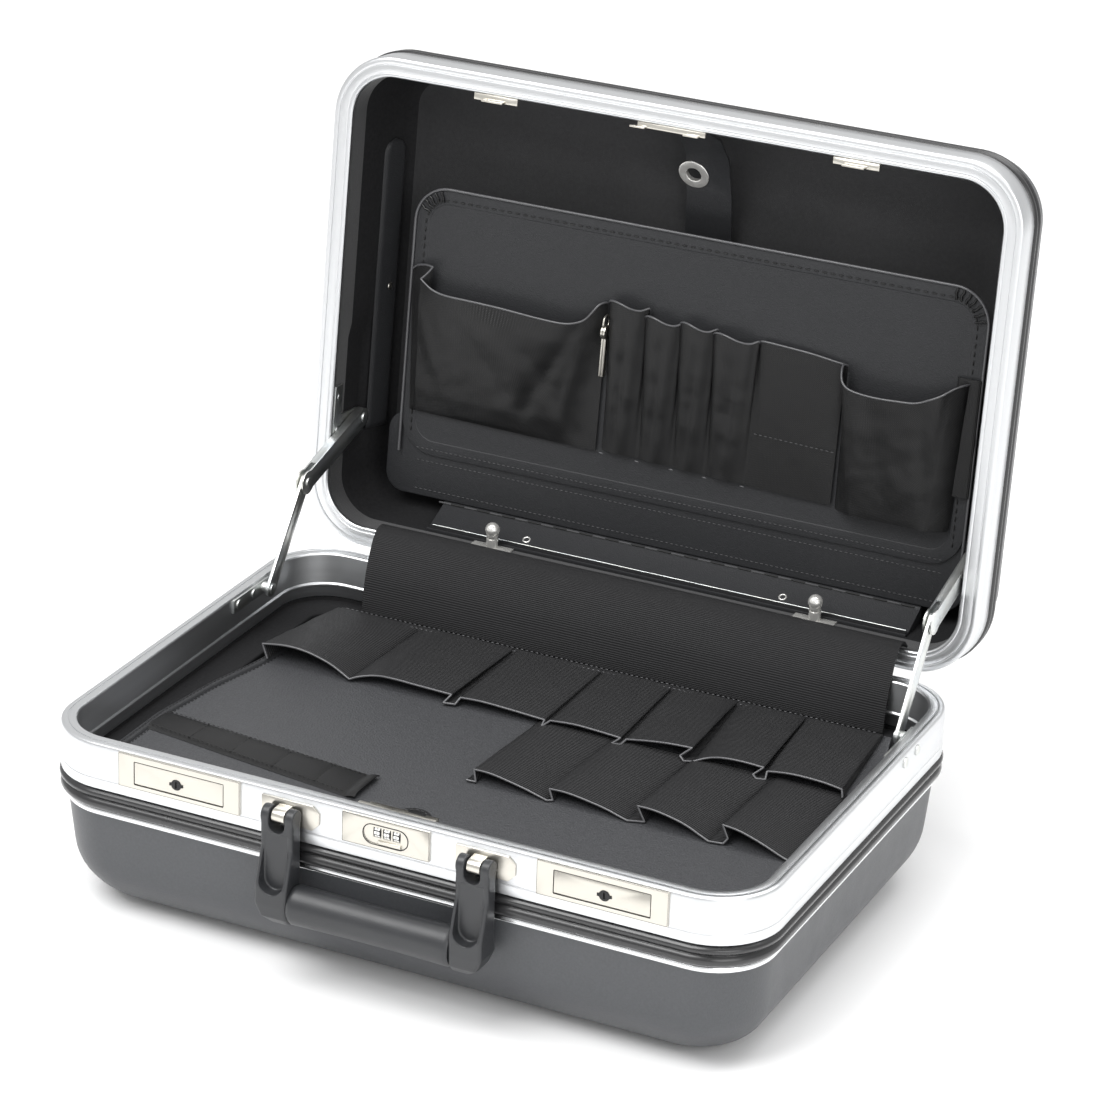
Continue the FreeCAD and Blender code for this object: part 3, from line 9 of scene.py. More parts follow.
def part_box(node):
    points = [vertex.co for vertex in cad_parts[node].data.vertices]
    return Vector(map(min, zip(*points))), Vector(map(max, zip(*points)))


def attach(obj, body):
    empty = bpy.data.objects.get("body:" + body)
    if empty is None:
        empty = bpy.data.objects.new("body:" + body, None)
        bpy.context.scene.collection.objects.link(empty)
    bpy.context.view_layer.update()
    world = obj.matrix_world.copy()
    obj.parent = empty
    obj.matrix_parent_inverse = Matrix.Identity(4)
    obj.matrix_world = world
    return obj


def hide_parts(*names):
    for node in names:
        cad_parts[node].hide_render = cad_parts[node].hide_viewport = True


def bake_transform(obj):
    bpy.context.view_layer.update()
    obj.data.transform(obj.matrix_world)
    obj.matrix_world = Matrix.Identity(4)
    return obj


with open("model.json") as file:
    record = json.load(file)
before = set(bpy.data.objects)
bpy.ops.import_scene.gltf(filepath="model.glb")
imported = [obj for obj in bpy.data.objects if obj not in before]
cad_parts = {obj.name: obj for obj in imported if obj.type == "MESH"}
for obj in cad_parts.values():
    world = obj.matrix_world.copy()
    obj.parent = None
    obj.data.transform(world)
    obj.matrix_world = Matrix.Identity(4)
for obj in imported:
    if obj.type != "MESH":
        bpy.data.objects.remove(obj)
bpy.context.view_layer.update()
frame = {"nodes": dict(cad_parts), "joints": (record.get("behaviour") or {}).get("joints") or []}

bl_info = {
    "name": "Hard tool case",
    "version": (1, 0, 0),
    "blender": (4, 5, 0),
    "location": "View3D > Sidebar > Tool case",
    "description": "Dresses a hard tool case's frame with its shells, trim, pockets and fittings",
    "category": "Object",
}

MM = 0.001
UP = Vector((0, 0, 1))
SIDES = ("left", "right")


# The frame's own facts

FRAME_HIGH = Vector(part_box("base_frame")[1])
PARTING = FRAME_HIGH.z
HALF_WIDTH = FRAME_HIGH.x
HALF_DEPTH = FRAME_HIGH.y
JOINTS = {joint["name"]: joint for joint in frame["joints"]}
HINGE = Vector(JOINTS["lid_hinge"]["pos_m"])
LID_ANGLE = math.radians(JOINTS["lid_hinge"]["range_deg"][1])
OPEN_LID = Matrix.Translation(HINGE) @ Matrix.Rotation(-LID_ANGLE, 4, "X") @ Matrix.Translation(-HINGE)
TRAY_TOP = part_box("tray_board")[1][2]
BOARD_DEPTH = 45.0


def lid_point(x, y, depth):
    """A point of the shut lid: x and y in millimetres, depth in millimetres above the parting line."""
    return Vector((x * MM, y * MM, PARTING + depth * MM))


def on_tray(x, y, h):
    """A point h millimetres above the tray's board."""
    return Vector((x * MM, y * MM, TRAY_TOP + h * MM))


def on_board(x, y, h):
    """A point h millimetres below the face of the shut lid's board."""
    return lid_point(x, y, BOARD_DEPTH - h)


def drift(x, y, size, seed):
    """Smooth seeded unevenness from -1 to 1 at a point given in millimetres."""
    return noise.noise(Vector((x / size, y / size, seed * 7.31)))


# Sizes and colours that a user would change

def length(name, description, default):
    return FloatProperty(name=name, description=description, default=default * MM, unit="LENGTH")


def colour(name, description, default):
    return FloatVectorProperty(name=name, description=description, default=default, subtype="COLOR",
                               size=3, min=0, max=1)


class CaseShellSizes(bpy.types.PropertyGroup):
    corner_radius: length("Corner radius", "Plan radius of the case's four upright corners", 43.0)
    shell_inset: length("Shell inset", "How far the shells stand inside the frames", 4.7)
    edge_radius: length("Base edge radius", "Radius between the base's walls and underside", 44.0)
    lid_edge_radius: length("Lid edge radius", "Radius between the lid's walls and top", 46.0)
    lid_height: length("Lid height", "Height of the shut lid above the parting line", 91.0)
    band_height: length("Base band", "Height of the base frame's outer band", 30.5)
    lid_band_height: length("Lid band", "Height of the lid frame's outer band", 20.0)
    bumper_height: length("Bumper height", "Height of the rubber bumpers", 15.9)
    bead_height: length("Bead height", "Height of the bright beads", 4.4)
    base_lip: length("Base lip", "Width of the base frame's rim", 10.4)
    lid_lip: length("Lid lip", "Width of the lid frame's rim", 13.5)


class CaseClothSizes(bpy.types.PropertyGroup):
    cloth_thickness: length("Cloth", "Thickness of the pocket cloth", 0.9)
    piping_radius: length("Piping", "Radius of the piping at pocket mouths", 0.75)
    stitch_length: length("Stitch", "Length of one stitch", 2.3)
    stitch_pitch: length("Stitch pitch", "Distance from one stitch to the next", 3.6)
    stitch_radius: length("Thread", "Radius of the thread", 0.32)
    rib_pitch: length("Cover rib pitch", "Distance between the hinge cover's ribs", 1.1)


class CaseColours(bpy.types.PropertyGroup):
    shell: colour("Shell", "Moulded shells", (0.045, 0.047, 0.051))
    frame: colour("Frame", "Brushed aluminium frames", (0.63, 0.64, 0.65))
    rubber: colour("Bumper", "Rubber bumpers", (0.012, 0.012, 0.013))
    nickel: colour("Fittings", "Nickel-plated fittings", (0.585, 0.562, 0.508))
    zinc: colour("Stays", "Zinc-plated stays", (0.60, 0.63, 0.65))
    leatherette: colour("Boards", "Leatherette on the boards", (0.019, 0.0195, 0.021))
    cloth: colour("Pockets", "Pocket cloth", (0.012, 0.012, 0.0125))
    lining: colour("Lining", "Lining of both halves", (0.020, 0.020, 0.021))
    handle: colour("Handle", "Moulded handle", (0.020, 0.021, 0.023))
    thread: colour("Thread", "Stitching and piping", (0.050, 0.050, 0.053))


def shell_sizes():
    return bpy.context.scene.case_shell_sizes


def cloth_sizes():
    return bpy.context.scene.case_cloth_sizes


# Materials

MATERIALS = {}


def node(tree, kind, **inputs):
    """A shader node with its inputs set by name or linked."""
    made = tree.nodes.new(kind)
    for key, value in inputs.items():
        socket = made.inputs[key.replace("_", " ")]
        if isinstance(value, bpy.types.NodeSocket):
            tree.links.new(value, socket)
        else:
            socket.default_value = value
    return made


def lighter(base, by):
    return tuple(min(1.0, channel * by) for channel in base)


class Finish:
    """One procedural material: a base shader, with patterns for its colour, roughness and bump."""

    def __init__(self, key, name, base, rough, metal=0.0):
        self.material = bpy.data.materials.new(name)
        self.material.use_nodes = True
        self.tree = self.material.node_tree
        self.shader = self.tree.nodes["Principled BSDF"]
        self.base = (*base, 1)
        self.bump = None
        self.set("Base Color", self.base).set("Roughness", rough).set("Metallic", metal)
        MATERIALS[key] = self.material

    def set(self, name, value):
        self.shader.inputs[name].default_value = value
        return self

    def space(self, kind, scale=(1, 1, 1)):
        """Coordinates of the kind "Object", or "UV" where a pattern follows the cloth or the profile."""
        place = node(self.tree, "ShaderNodeTexCoord").outputs[kind]
        return node(self.tree, "ShaderNodeMapping", Vector=place, Scale=scale).outputs["Vector"]

    def noise(self, space, scale, detail):
        made = node(self.tree, "ShaderNodeTexNoise", Vector=space, Scale=scale, Detail=detail)
        return made.outputs["Fac"]

    def grain(self, scale, detail=3.0, stretch=(1, 1, 1)):
        """Soft noise in the piece's own space."""
        return self.noise(self.space("Object", stretch), scale, detail)

    def streaks(self, along, across, detail=3.0):
        """Soft noise drawn out along a profile."""
        return self.noise(self.space("UV", (along, across, 1)), 1.0, detail)

    def cells(self, scale):
        made = node(self.tree, "ShaderNodeTexVoronoi", Vector=self.space("Object"), Scale=scale)
        return made.outputs["Distance"]

    def ribs(self, pitch, direction="Y", distortion=0.0):
        """Even ribs of the cloth, of a real pitch in millimetres."""
        scale = 2 * math.pi / (20 * pitch * MM)
        made = node(self.tree, "ShaderNodeTexWave", Vector=self.space("UV"), Scale=scale)
        made.inputs["Distortion"].default_value = distortion
        made.bands_direction = direction
        return made.outputs["Fac"]

    def product(self, first, second):
        made = self.tree.nodes.new("ShaderNodeMath")
        made.operation = "MULTIPLY"
        self.tree.links.new(first, made.inputs[0])
        self.tree.links.new(second, made.inputs[1])
        return made.outputs[0]

    def tint(self, pattern, other):
        """Varies the base colour between its own value and another."""
        made = self.tree.nodes.new("ShaderNodeMix")
        made.data_type = "RGBA"
        self.tree.links.new(pattern, made.inputs[0])
        made.inputs[6].default_value = self.base
        made.inputs[7].default_value = (*other, 1)
        self.tree.links.new(made.outputs[2], self.shader.inputs["Base Color"])
        return self

    def polish(self, pattern, low, high):
        """Varies the roughness from low to high."""
        made = node(self.tree, "ShaderNodeMapRange", Value=pattern, To_Min=low, To_Max=high)
        self.tree.links.new(made.outputs["Result"], self.shader.inputs["Roughness"])
        return self

    def relief(self, pattern, depth):
        """Adds bump of a real depth in millimetres."""
        made = node(self.tree, "ShaderNodeBump", Height=pattern, Distance=depth * MM, Strength=1.0)
        if self.bump:
            self.tree.links.new(self.bump, made.inputs["Normal"])
        self.bump = made.outputs["Normal"]
        self.tree.links.new(self.bump, self.shader.inputs["Normal"])
        return self

    def gloss(self, coat, rough):
        return self.set("Coat Weight", coat).set("Coat Roughness", rough)

    def matte(self, level):
        return self.set("Specular IOR Level", level)

    def sheen(self, weight, rough):
        return self.set("Sheen Weight", weight).set("Sheen Roughness", rough)


def make_hard_finishes(c):
    """Plastics, rubber and metals, by the name of what wears them."""
    f = Finish("shell", "moulded shell", c.shell, 0.42)
    f.tint(f.grain(700), lighter(c.shell, 1.5)).polish(f.grain(60), 0.34, 0.46)
    f.relief(f.grain(1400, 2), 0.06).relief(f.cells(900), 0.04)

    f = Finish("frame", "brushed frame", c.frame, 0.26, 1.0)
    brushed = f.streaks(5, 2600, 4)
    f.polish(brushed, 0.27, 0.42).relief(brushed, 0.01)
    f.tint(f.streaks(2, 420), lighter(c.frame, 1.18))

    f = Finish("bumper", "bumper rubber", c.rubber, 0.28)
    f.polish(f.grain(120), 0.22, 0.36).gloss(0.4, 0.2).relief(f.grain(500), 0.02)

    f = Finish("bead", "bright bead", (0.86, 0.87, 0.88), 0.22, 1.0)
    f.polish(f.streaks(6, 900), 0.16, 0.3)

    f = Finish("nickel", "nickel plate", c.nickel, 0.3, 1.0)
    f.polish(f.grain(160), 0.24, 0.36).relief(f.grain(2200), 0.006)
    f.tint(f.grain(30), lighter(c.nickel, 1.06))

    f = Finish("zinc", "zinc plate", c.zinc, 0.32, 1.0)
    f.polish(f.grain(90), 0.26, 0.42).tint(f.cells(60), (0.70, 0.70, 0.66))
    f.relief(f.grain(700, stretch=(1, 1, 6)), 0.01)

    f = Finish("chrome", "polished chrome", (0.80, 0.79, 0.76), 0.2, 0.7)
    f.polish(f.grain(200), 0.14, 0.24).relief(f.grain(1500), 0.004)

    f = Finish("handle", "moulded handle", c.handle, 0.36)
    f.polish(f.grain(90), 0.30, 0.44).relief(f.cells(1300), 0.05)
    f.tint(f.grain(40), lighter(c.handle, 1.4))

    f = Finish("figures", "dial figures", (0.86, 0.86, 0.84), 0.4)
    f.relief(f.grain(900), 0.02)

    # Near black for the key barrels, dials, figures and dark stitches, and for the cords painted as the
    # shade round the latches and the lock.
    f = Finish("dark", "near black and painted gap shade", (0.008, 0.008, 0.008), 0.6)
    f.relief(f.grain(900), 0.03)


def make_soft_finishes(c):
    """Cloths, linings, leatherettes and threads, by the name of what wears them."""
    f = Finish("leatherette", "leatherette", c.leatherette, 0.5)
    f.tint(f.grain(500), lighter(c.leatherette, 1.5)).polish(f.grain(150), 0.42, 0.56)
    f.relief(f.cells(1100), 0.12).relief(f.grain(300), 0.06).matte(0.3)

    f = Finish("grain", "board grain", lighter(c.leatherette, 1.2), 0.52)
    f.tint(f.grain(520, 2), lighter(c.leatherette, 3.2)).polish(f.grain(160), 0.44, 0.6)
    f.relief(f.cells(750), 0.3).relief(f.grain(260), 0.12)

    f = Finish("cloth", "pocket cloth", lighter(c.cloth, 0.4), 0.4)
    warp = f.ribs(0.9, "X")
    weave = f.product(warp, f.ribs(0.6, "DIAGONAL"))
    f.relief(weave, 0.12).tint(weave, lighter(c.cloth, 1.15)).polish(warp, 0.30, 0.42).matte(0.36)

    f = Finish("ribbed", "ribbed tool cloth", lighter(c.cloth, 0.45), 0.5)
    ribs = f.ribs(1.9, "Y", 0.8)
    # The rib crests are tinted lighter, partly the cloth's weave and partly painted highlight on the
    # crests.
    f.relief(ribs, 0.6).relief(f.ribs(0.7, "X"), 0.12).tint(ribs, lighter(c.cloth, 3.4)).matte(0.18)

    f = Finish("cover", "hinge cover cloth", c.cloth, 0.52)
    ribs = f.ribs(cloth_sizes().rib_pitch / MM)
    cross = f.ribs(0.6, "X")
    f.relief(ribs, 0.2).relief(cross, 0.08).tint(f.product(ribs, cross), lighter(c.cloth, 5.0)).matte(0.16)

    f = Finish("lining", "lining felt", c.lining, 0.85)
    f.tint(f.grain(420), lighter(c.lining, 1.7)).sheen(0.35, 0.5).matte(0.3).relief(f.grain(1600), 0.18)

    # A darker copy of the lining felt: painted shade on the lid's walls and in the strip under the ledge,
    # and the colour of the base's lining.
    f = Finish("felt", "darker felt and painted shade", lighter(c.lining, 0.6), 0.9)
    f.tint(f.grain(420), lighter(c.lining, 1.2)).relief(f.grain(1600), 0.18).matte(0.1)

    f = Finish("thread", "thread", c.thread, 0.55)
    f.relief(f.grain(2500), 0.08).sheen(0.3, 0.4)

    # The piping is tinted lighter than the thread, partly its own tone and partly painted highlight along
    # the pocket mouths and the board's edge.
    f = Finish("piping", "piping", lighter(c.thread, 1.45), 0.3)
    f.relief(f.grain(900), 0.04).gloss(0.35, 0.25)


# Mesh helpers

def clear_selection():
    if bpy.context.object and bpy.context.object.mode != "OBJECT":
        bpy.ops.object.mode_set(mode="OBJECT")
    bpy.ops.object.select_all(action="DESELECT")


def only(obj):
    clear_selection()
    obj.select_set(True)
    bpy.context.view_layer.objects.active = obj
    return obj


def modify(obj, kind, **settings):
    """Adds a modifier, sets it and applies it."""
    only(obj)
    made = obj.modifiers.new(kind.title(), kind)
    for key, value in settings.items():
        setattr(made, key, value)
    bpy.ops.object.modifier_apply(modifier=made.name)
    return obj


def edited(obj, *steps):
    """Runs mesh operators, as pairs of operator and settings, on the whole of a piece."""
    only(obj)
    bpy.ops.object.mode_set(mode="EDIT")
    bpy.ops.mesh.select_all(action="SELECT")
    for operator, settings in steps:
        operator(**settings)
    bpy.ops.object.mode_set(mode="OBJECT")
    return obj


def tidy(obj):
    """Merges doubles and points the normals outwards."""
    return edited(obj, (bpy.ops.mesh.remove_doubles, {"threshold": 0.02 * MM}),
                  (bpy.ops.mesh.normals_make_consistent, {"inside": False}))


def close_ends(obj):
    return edited(obj, (bpy.ops.mesh.fill_holes, {"sides": 0}))


def smooth(obj, angle=35):
    only(obj)
    bpy.ops.object.shade_smooth_by_angle(angle=math.radians(angle), keep_sharp_edges=False)
    return obj


def lattice(name, columns, rows, place, spread):
    """A grid whose points place(across, along) puts in space, with its real size spread for its UV map."""
    clear_selection()
    bpy.ops.mesh.primitive_grid_add(x_subdivisions=columns, y_subdivisions=rows, size=2, location=(0, 0, 0))
    obj = bpy.context.object
    obj.name = name
    obj.data.name = name
    for vertex in obj.data.vertices:
        vertex.co = place((vertex.co.x + 1) / 2, (vertex.co.y + 1) / 2)
    for corner in obj.data.uv_layers.active.data:
        corner.uv = (corner.uv.x * spread[0], corner.uv.y * spread[1])
    return obj


def pad(name, columns, rows, place, spread, thickness, offset=-1, angle=60):
    """A lattice given a thickness in millimetres, below it, above it (offset 1) or both ways (offset 0)."""
    obj = tidy(lattice(name, columns, rows, place, spread))
    modify(obj, "SOLIDIFY", thickness=thickness * MM, offset=offset)
    return smooth(obj, angle)


def ball(name, segments, rings, place):
    """A round piece whose points place puts in space from those of a ball of radius 1."""
    clear_selection()
    bpy.ops.mesh.primitive_uv_sphere_add(segments=segments, ring_count=rings, radius=1, location=(0, 0, 0))
    obj = bpy.context.object
    obj.name = name
    for vertex in obj.data.vertices:
        vertex.co = place(vertex.co.copy())
    return obj


def reach(points):
    """The length of a line of points."""
    return sum((Vector(a) - Vector(b)).length for a, b in zip(points, points[1:]))


def through(points, steps):
    """A smooth line through a list of points, as tuples or vectors, with so many steps in each span."""
    points = [Vector(point) for point in points]
    line = []
    for k in range(len(points) - 1):
        a = points[max(k - 1, 0)]
        b, c = points[k], points[k + 1]
        d = points[min(k + 2, len(points) - 1)]
        for n in range(steps):
            t = n / steps
            line.append(((b * 2) + (c - a) * t + (a * 2 - b * 5 + c * 4 - d) * t * t
                         + (b * 3 - a - c * 3 + d) * t * t * t) / 2)
    line.append(points[-1])
    return line


def outline_point(share, inset, radius):
    """A point of the case's rounded outline at a share of the way round, a distance inside it.

    Each quarter of the way holds one straight side and then its corner, from the front's left end on."""
    share = share % 1.0
    half_x = HALF_WIDTH - inset
    half_y = HALF_DEPTH - inset
    radius = min(radius, half_y * 0.98)
    straight_x = half_x - radius
    straight_y = half_y - radius
    side = int(share * 4) % 4
    t = (share * 4 - side) * 2
    if t < 1:
        s = t * 2 - 1
        point = ((s * straight_x, -half_y), (half_x, s * straight_y),
                 (-s * straight_x, half_y), (-half_x, -s * straight_y))[side]
        return Vector((*point, 0))
    turn = math.radians(side * 90 + (t - 1) * 90 - 90)
    x = straight_x if side in (0, 1) else -straight_x
    y = straight_y if side in (1, 2) else -straight_y
    return Vector((x + radius * math.cos(turn), y + radius * math.sin(turn), 0))


PERIMETER = 1.56


def belt(name, section, round_steps):
    """A closed ring round the case from a section of (inset, height) points."""
    corner = shell_sizes().corner_radius
    count = len(section)
    loop = section + section[:1]

    def place(u, v):
        inset, z = loop[round(v * count)]
        return outline_point(u, inset, corner - inset) + UP * z

    girth = sum(math.dist(a, b) for a, b in zip(loop, loop[1:]))
    return tidy(lattice(name, round_steps, count, place, (PERIMETER, girth)))


def bowl(name, profile, round_steps):
    """An open bowl round the case's outline from (inset, height, corner radius) points."""
    count = len(profile) - 1

    def place(u, v):
        inset, z, radius = profile[round(v * count)]
        return outline_point(u, inset, radius) + UP * z

    return tidy(lattice(name, round_steps, count, place, (PERIMETER, 0.5)))


def tube(name, points, radius, sides=8, closed=False):
    """A round cord along a list of points, its radius in metres, with its ends filled."""
    never_along = Vector((0.13, 0.21, 1))
    count = len(points) - 1
    sections = []
    for k, point in enumerate(points):
        before = points[k - 1] if k or closed else point
        after = points[(k + 1) % len(points)] if k < count or closed else point
        along = (after - before).normalized()
        side = along.cross(never_along).normalized()
        sections.append((point, side, along.cross(side)))

    def place(u, v):
        point, side, across = sections[round(v * count)]
        turn = -u * 2 * math.pi
        return point + side * (radius * math.cos(turn)) + across * (radius * math.sin(turn))

    obj = tidy(lattice(name, sides, count, place, (2 * math.pi * radius, reach(points))))
    return tidy(close_ends(obj))


def repeated(name, seed, places):
    """One mesh of many copies of a seed, one at each matrix."""
    points = [v.co.copy() for v in seed.data.vertices]
    faces = [tuple(p.vertices) for p in seed.data.polygons]
    mesh = bpy.data.meshes.new(name)
    all_points = []
    all_faces = []
    for k, matrix in enumerate(places):
        all_points += [matrix @ p for p in points]
        all_faces += [tuple(i + k * len(points) for i in f) for f in faces]
    mesh.from_pydata(all_points, [], all_faces)
    mesh.update()
    obj = bpy.data.objects.new(name, mesh)
    bpy.context.scene.collection.objects.link(obj)
    bpy.data.objects.remove(seed)
    return obj


def along_path(points, pitch):
    """Places and directions every pitch along a list of points."""
    places = []
    carry = pitch / 2
    for a, b in zip(points, points[1:]):
        span = (b - a).length
        at = carry
        while at < span:
            places.append((a.lerp(b, at / span), (b - a) / span))
            at += pitch
        carry = at - span
    return places


def plate(name, low, high, radius, edge, segments, border=0.0, sunk=0.0):
    """A board between two corners, in millimetres, with its face at the second one's height.

    Its corners are round and its edges soft, and its face may be sunk inside a border."""
    low = Vector(low) * MM
    size = Vector(high) * MM - low
    clear_selection()
    bpy.ops.mesh.primitive_plane_add(size=1, location=(0, 0, 0))
    obj = bpy.context.object
    obj.name = name
    for vertex in obj.data.vertices:
        vertex.co = low + Vector((size.x * (vertex.co.x + 0.5), size.y * (vertex.co.y + 0.5), 0))
    bpy.ops.object.mode_set(mode="EDIT")
    bpy.ops.mesh.select_all(action="SELECT")
    bpy.ops.mesh.bevel(offset=radius * MM, segments=segments, affect="VERTICES")
    bpy.ops.mesh.select_all(action="SELECT")
    bpy.ops.mesh.extrude_region_move(TRANSFORM_OT_translate={"value": (0, 0, size.z)})
    if border:
        bpy.ops.mesh.inset(thickness=border * MM, depth=0)
        bpy.ops.mesh.inset(thickness=sunk * MM, depth=0)
        bpy.ops.transform.translate(value=(0, 0, math.copysign(sunk * MM, -size.z)))
    bpy.ops.object.mode_set(mode="OBJECT")
    modify(obj, "BEVEL", width=edge * MM, segments=3, limit_method="ANGLE", angle_limit=math.radians(40))
    return smooth(tidy(obj))


def finished(obj, body, material, slot, *nodes, in_place=False):
    """Gives a piece its material, and makes it ride its body and stand for its nodes; its slot is not used.

    A piece of the lid or its board is drawn on the shut lid and opened here, unless it is in place."""
    if body in ("lid", "board") and not in_place:
        obj.data.transform(OPEN_LID)
    obj.data.materials.clear()
    obj.data.materials.append(MATERIALS[material])
    if nodes:
        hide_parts(*nodes)
    if body:
        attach(obj, body)
    return obj


def machined(name, edge, segments=2):
    """A copy of a frame node with merged faces and softened edges, their width in millimetres."""
    clear_selection()
    obj = bpy.data.objects.new("fine_" + name, frame["nodes"][name].data.copy())
    bpy.context.scene.collection.objects.link(obj)
    edited(obj, (bpy.ops.mesh.remove_doubles, {"threshold": 0.005 * MM}),
           (bpy.ops.mesh.dissolve_limited, {"angle_limit": math.radians(1.0)}))
    if edge:
        modify(obj, "BEVEL", width=edge * MM, segments=segments, limit_method="ANGLE",
               angle_limit=math.radians(28))
    return smooth(obj, 40)


def machined_piece(name, body, material, slot, edge, segments=2):
    """A machined copy that stands for its own node."""
    return finished(machined(name, edge, segments), body, material, slot, name, in_place=True)


def joined(name, pieces):
    """Joins a list of meshes into one."""
    clear_selection()
    for piece in pieces:
        piece.select_set(True)
    bpy.context.view_layer.objects.active = pieces[0]
    bpy.ops.object.join()
    pieces[0].name = name
    pieces[0].data.name = name
    return pieces[0]


# Sections of the shells, frames and trim

ARC_STEPS = 14
WALL_TILT = math.radians(3.7)
CORNER_LOSS = 0.45
RIM_GAP = 0.9 * MM


def half_profile(far, rim, top, edge, offset=0.0):
    """Inset, distance from the parting line and corner radius, from a shell's rim to its far middle."""
    s = shell_sizes()
    centre = far - edge
    straight = centre + edge * math.sin(WALL_TILT) - rim
    centre_inset = s.shell_inset + straight * math.tan(WALL_TILT) + edge * math.cos(WALL_TILT)
    corner = s.corner_radius - s.shell_inset - offset
    profile = [(s.shell_inset + offset, top, corner), (s.shell_inset + offset, rim, corner)]
    for k in range(ARC_STEPS + 1):
        turn = WALL_TILT + k / ARC_STEPS * (math.pi / 2 - WALL_TILT)
        face = centre_inset - edge * math.cos(turn)
        profile.append((centre_inset - (edge - offset) * math.cos(turn),
                        centre + (edge - offset) * math.sin(turn),
                        s.corner_radius - CORNER_LOSS * face - offset))
    inset, depth, radius = profile[-1]
    for share in (0.2, 0.5, 0.8, 0.9999):
        profile.append((inset + (HALF_DEPTH - inset) * share, depth, radius))
    return profile


def rim_drop(lid):
    """How far from the parting line a shell's wall begins, under its frame's band, bumper and bead."""
    s = shell_sizes()
    band = s.lid_band_height if lid else s.band_height
    return band + s.bumper_height + s.bead_height + RIM_GAP


def shell(lid):
    """A moulded shell, open at the parting line."""
    s = shell_sizes()
    half = "lid" if lid else "base"
    side = 1 if lid else -1
    far = s.lid_height if lid else PARTING
    edge = s.lid_edge_radius if lid else s.edge_radius
    profile = half_profile(far, rim_drop(lid), 3.6 * MM if lid else 3 * MM, edge)
    profile = [(inset, PARTING + side * depth, radius) for inset, depth, radius in profile]
    obj = bowl(half + "_shell_skin", profile, 144)
    modify(obj, "SOLIDIFY", thickness=2.9 * MM, offset=-1)
    finished(smooth(obj, 30), half, "shell", "case_shell", half + "_shell")


def frame_section(lid):
    """The extruded frame's section as (inset, height above the parting line) in millimetres."""
    s = shell_sizes()
    if lid:
        lip = s.lid_lip / MM
        high = s.lid_band_height / MM
        return [(0, high), (0, 2.8), (0.66, 1.26), (2.2, 0.6), (4.2, 0.6), (4.2, 1.2), (5.1, 1.2),
                (5.1, 0.6), (lip - 3.4, 0.6), (lip - 3.2, 0.9), (lip - 2.7, 0.9), (lip - 2.5, 0.6),
                (lip - 0.9, 0.6), (lip, 1.5), (lip, 3.6), (10.9, 3.6), (10.9, 17.6), (9.4, 17.6),
                (9.4, 3.6), (2, 3.6), (2, high)]
    lip = s.base_lip / MM
    low = -s.band_height / MM
    return [(0, low), (0, -24.2), (0.25, -23.9), (0.25, -23.5), (0, -23.2), (0, -2.2), (0.66, -0.66),
            (2.2, 0), (4.2, 0), (4.2, -0.6), (5.1, -0.6), (5.1, 0), (lip - 0.9, 0), (lip, -0.9),
            (lip, -21), (lip + 1, -22), (lip + 1, -23.4), (lip, -24.4), (lip, -31), (lip - 1.5, -31),
            (lip - 1.5, -3), (2, -3), (2, low)]


def rubber_section(start, side):
    """The bumper's double-ribbed section, from the frame's edge outwards."""
    s = shell_sizes()
    proud = s.shell_inset + 0.8 * MM
    out = (0.30, 0.55, 1.00, 1.00, 0.72, 0.60, 0.74, 0.93, 0.93, 0.62, 0.22)
    drop = (0.00, 0.07, 0.19, 0.32, 0.43, 0.48, 0.53, 0.63, 0.77, 0.91, 1.00)
    outer = [(s.shell_inset - a * proud, start + side * b * s.bumper_height, 0) for a, b in zip(out, drop)]
    line = [tuple(point)[:2] for point in through(outer, 3)]
    return [(s.shell_inset, start)] + line + [(s.shell_inset, start + side * s.bumper_height)]


def bead_section(start, side):
    """The bright bead's half-round section."""
    s = shell_sizes()
    line = []
    for k in range(9):
        turn = math.pi * k / 8
        line.append((s.shell_inset - 1.7 * MM * math.sin(turn),
                     start + side * s.bead_height * (0.5 - 0.5 * math.cos(turn))))
    return line


# Cloth, piping and stitches

def sewn_cloth(name, mouth, sewn, space, rows, growth, crease, seed, wrinkle):
    """Cloth sewn down along one line and open at its mouth, both lists of (x, y, height) in millimetres."""
    lowest = 0.95
    stiff_below = 6.0
    count = len(mouth) - 1

    def place(u, v):
        m = mouth[round(u * count)]
        s = sewn[round(u * count)]
        x = s[0] + (m[0] - s[0]) * v
        y = s[1] + (m[1] - s[1]) * v
        h = s[2] + (m[2] - s[2]) * growth(v)
        lively = math.sin(math.pi * min(1.0, v * 1.1)) ** 0.5 if 0 < v < 1 else 0
        lively *= min(1.0, h / stiff_below)
        h += wrinkle * lively * (drift(x, y, 17, seed) * 1.6 + drift(x, y, 7, seed + 3) * 0.8)
        if crease:
            h += crease(x, y, v)
        return space(x, y, max(lowest, h))

    width = reach(mouth) * MM
    deep = sum(math.dist(a[:2], b[:2]) for a, b in zip(mouth, sewn)) / len(mouth) * MM
    obj = lattice(name, count, rows, place, (width, deep))
    area = sum(face.area for face in obj.data.polygons)
    tidy(obj)
    modify(obj, "SUBSURF", levels=1)
    modify(obj, "SOLIDIFY", thickness=cloth_sizes().cloth_thickness * 0.6, offset=0)
    smooth(obj, 60)
    obj["flat_width"] = width
    obj["flat_length"] = max(deep, area / width)
    obj["flat_area"] = area
    return obj


def creased(points, steps=4, near=0.12):
    """A line through (x, y, height, crease) points, smooth between the creases and sharp at them."""
    runs = [[]]
    for x, y, height, crease in points:
        runs[-1].append(Vector((x, y, height)))
        if crease:
            runs.append([Vector((x, y, height))])
    line = []
    for run in runs:
        if len(run) > 1:
            part = through(run, steps)
            part.insert(1, part[0].lerp(part[1], near))
            part.insert(-1, part[-1].lerp(part[-2], near))
            line += part[1:] if line else part
    return line


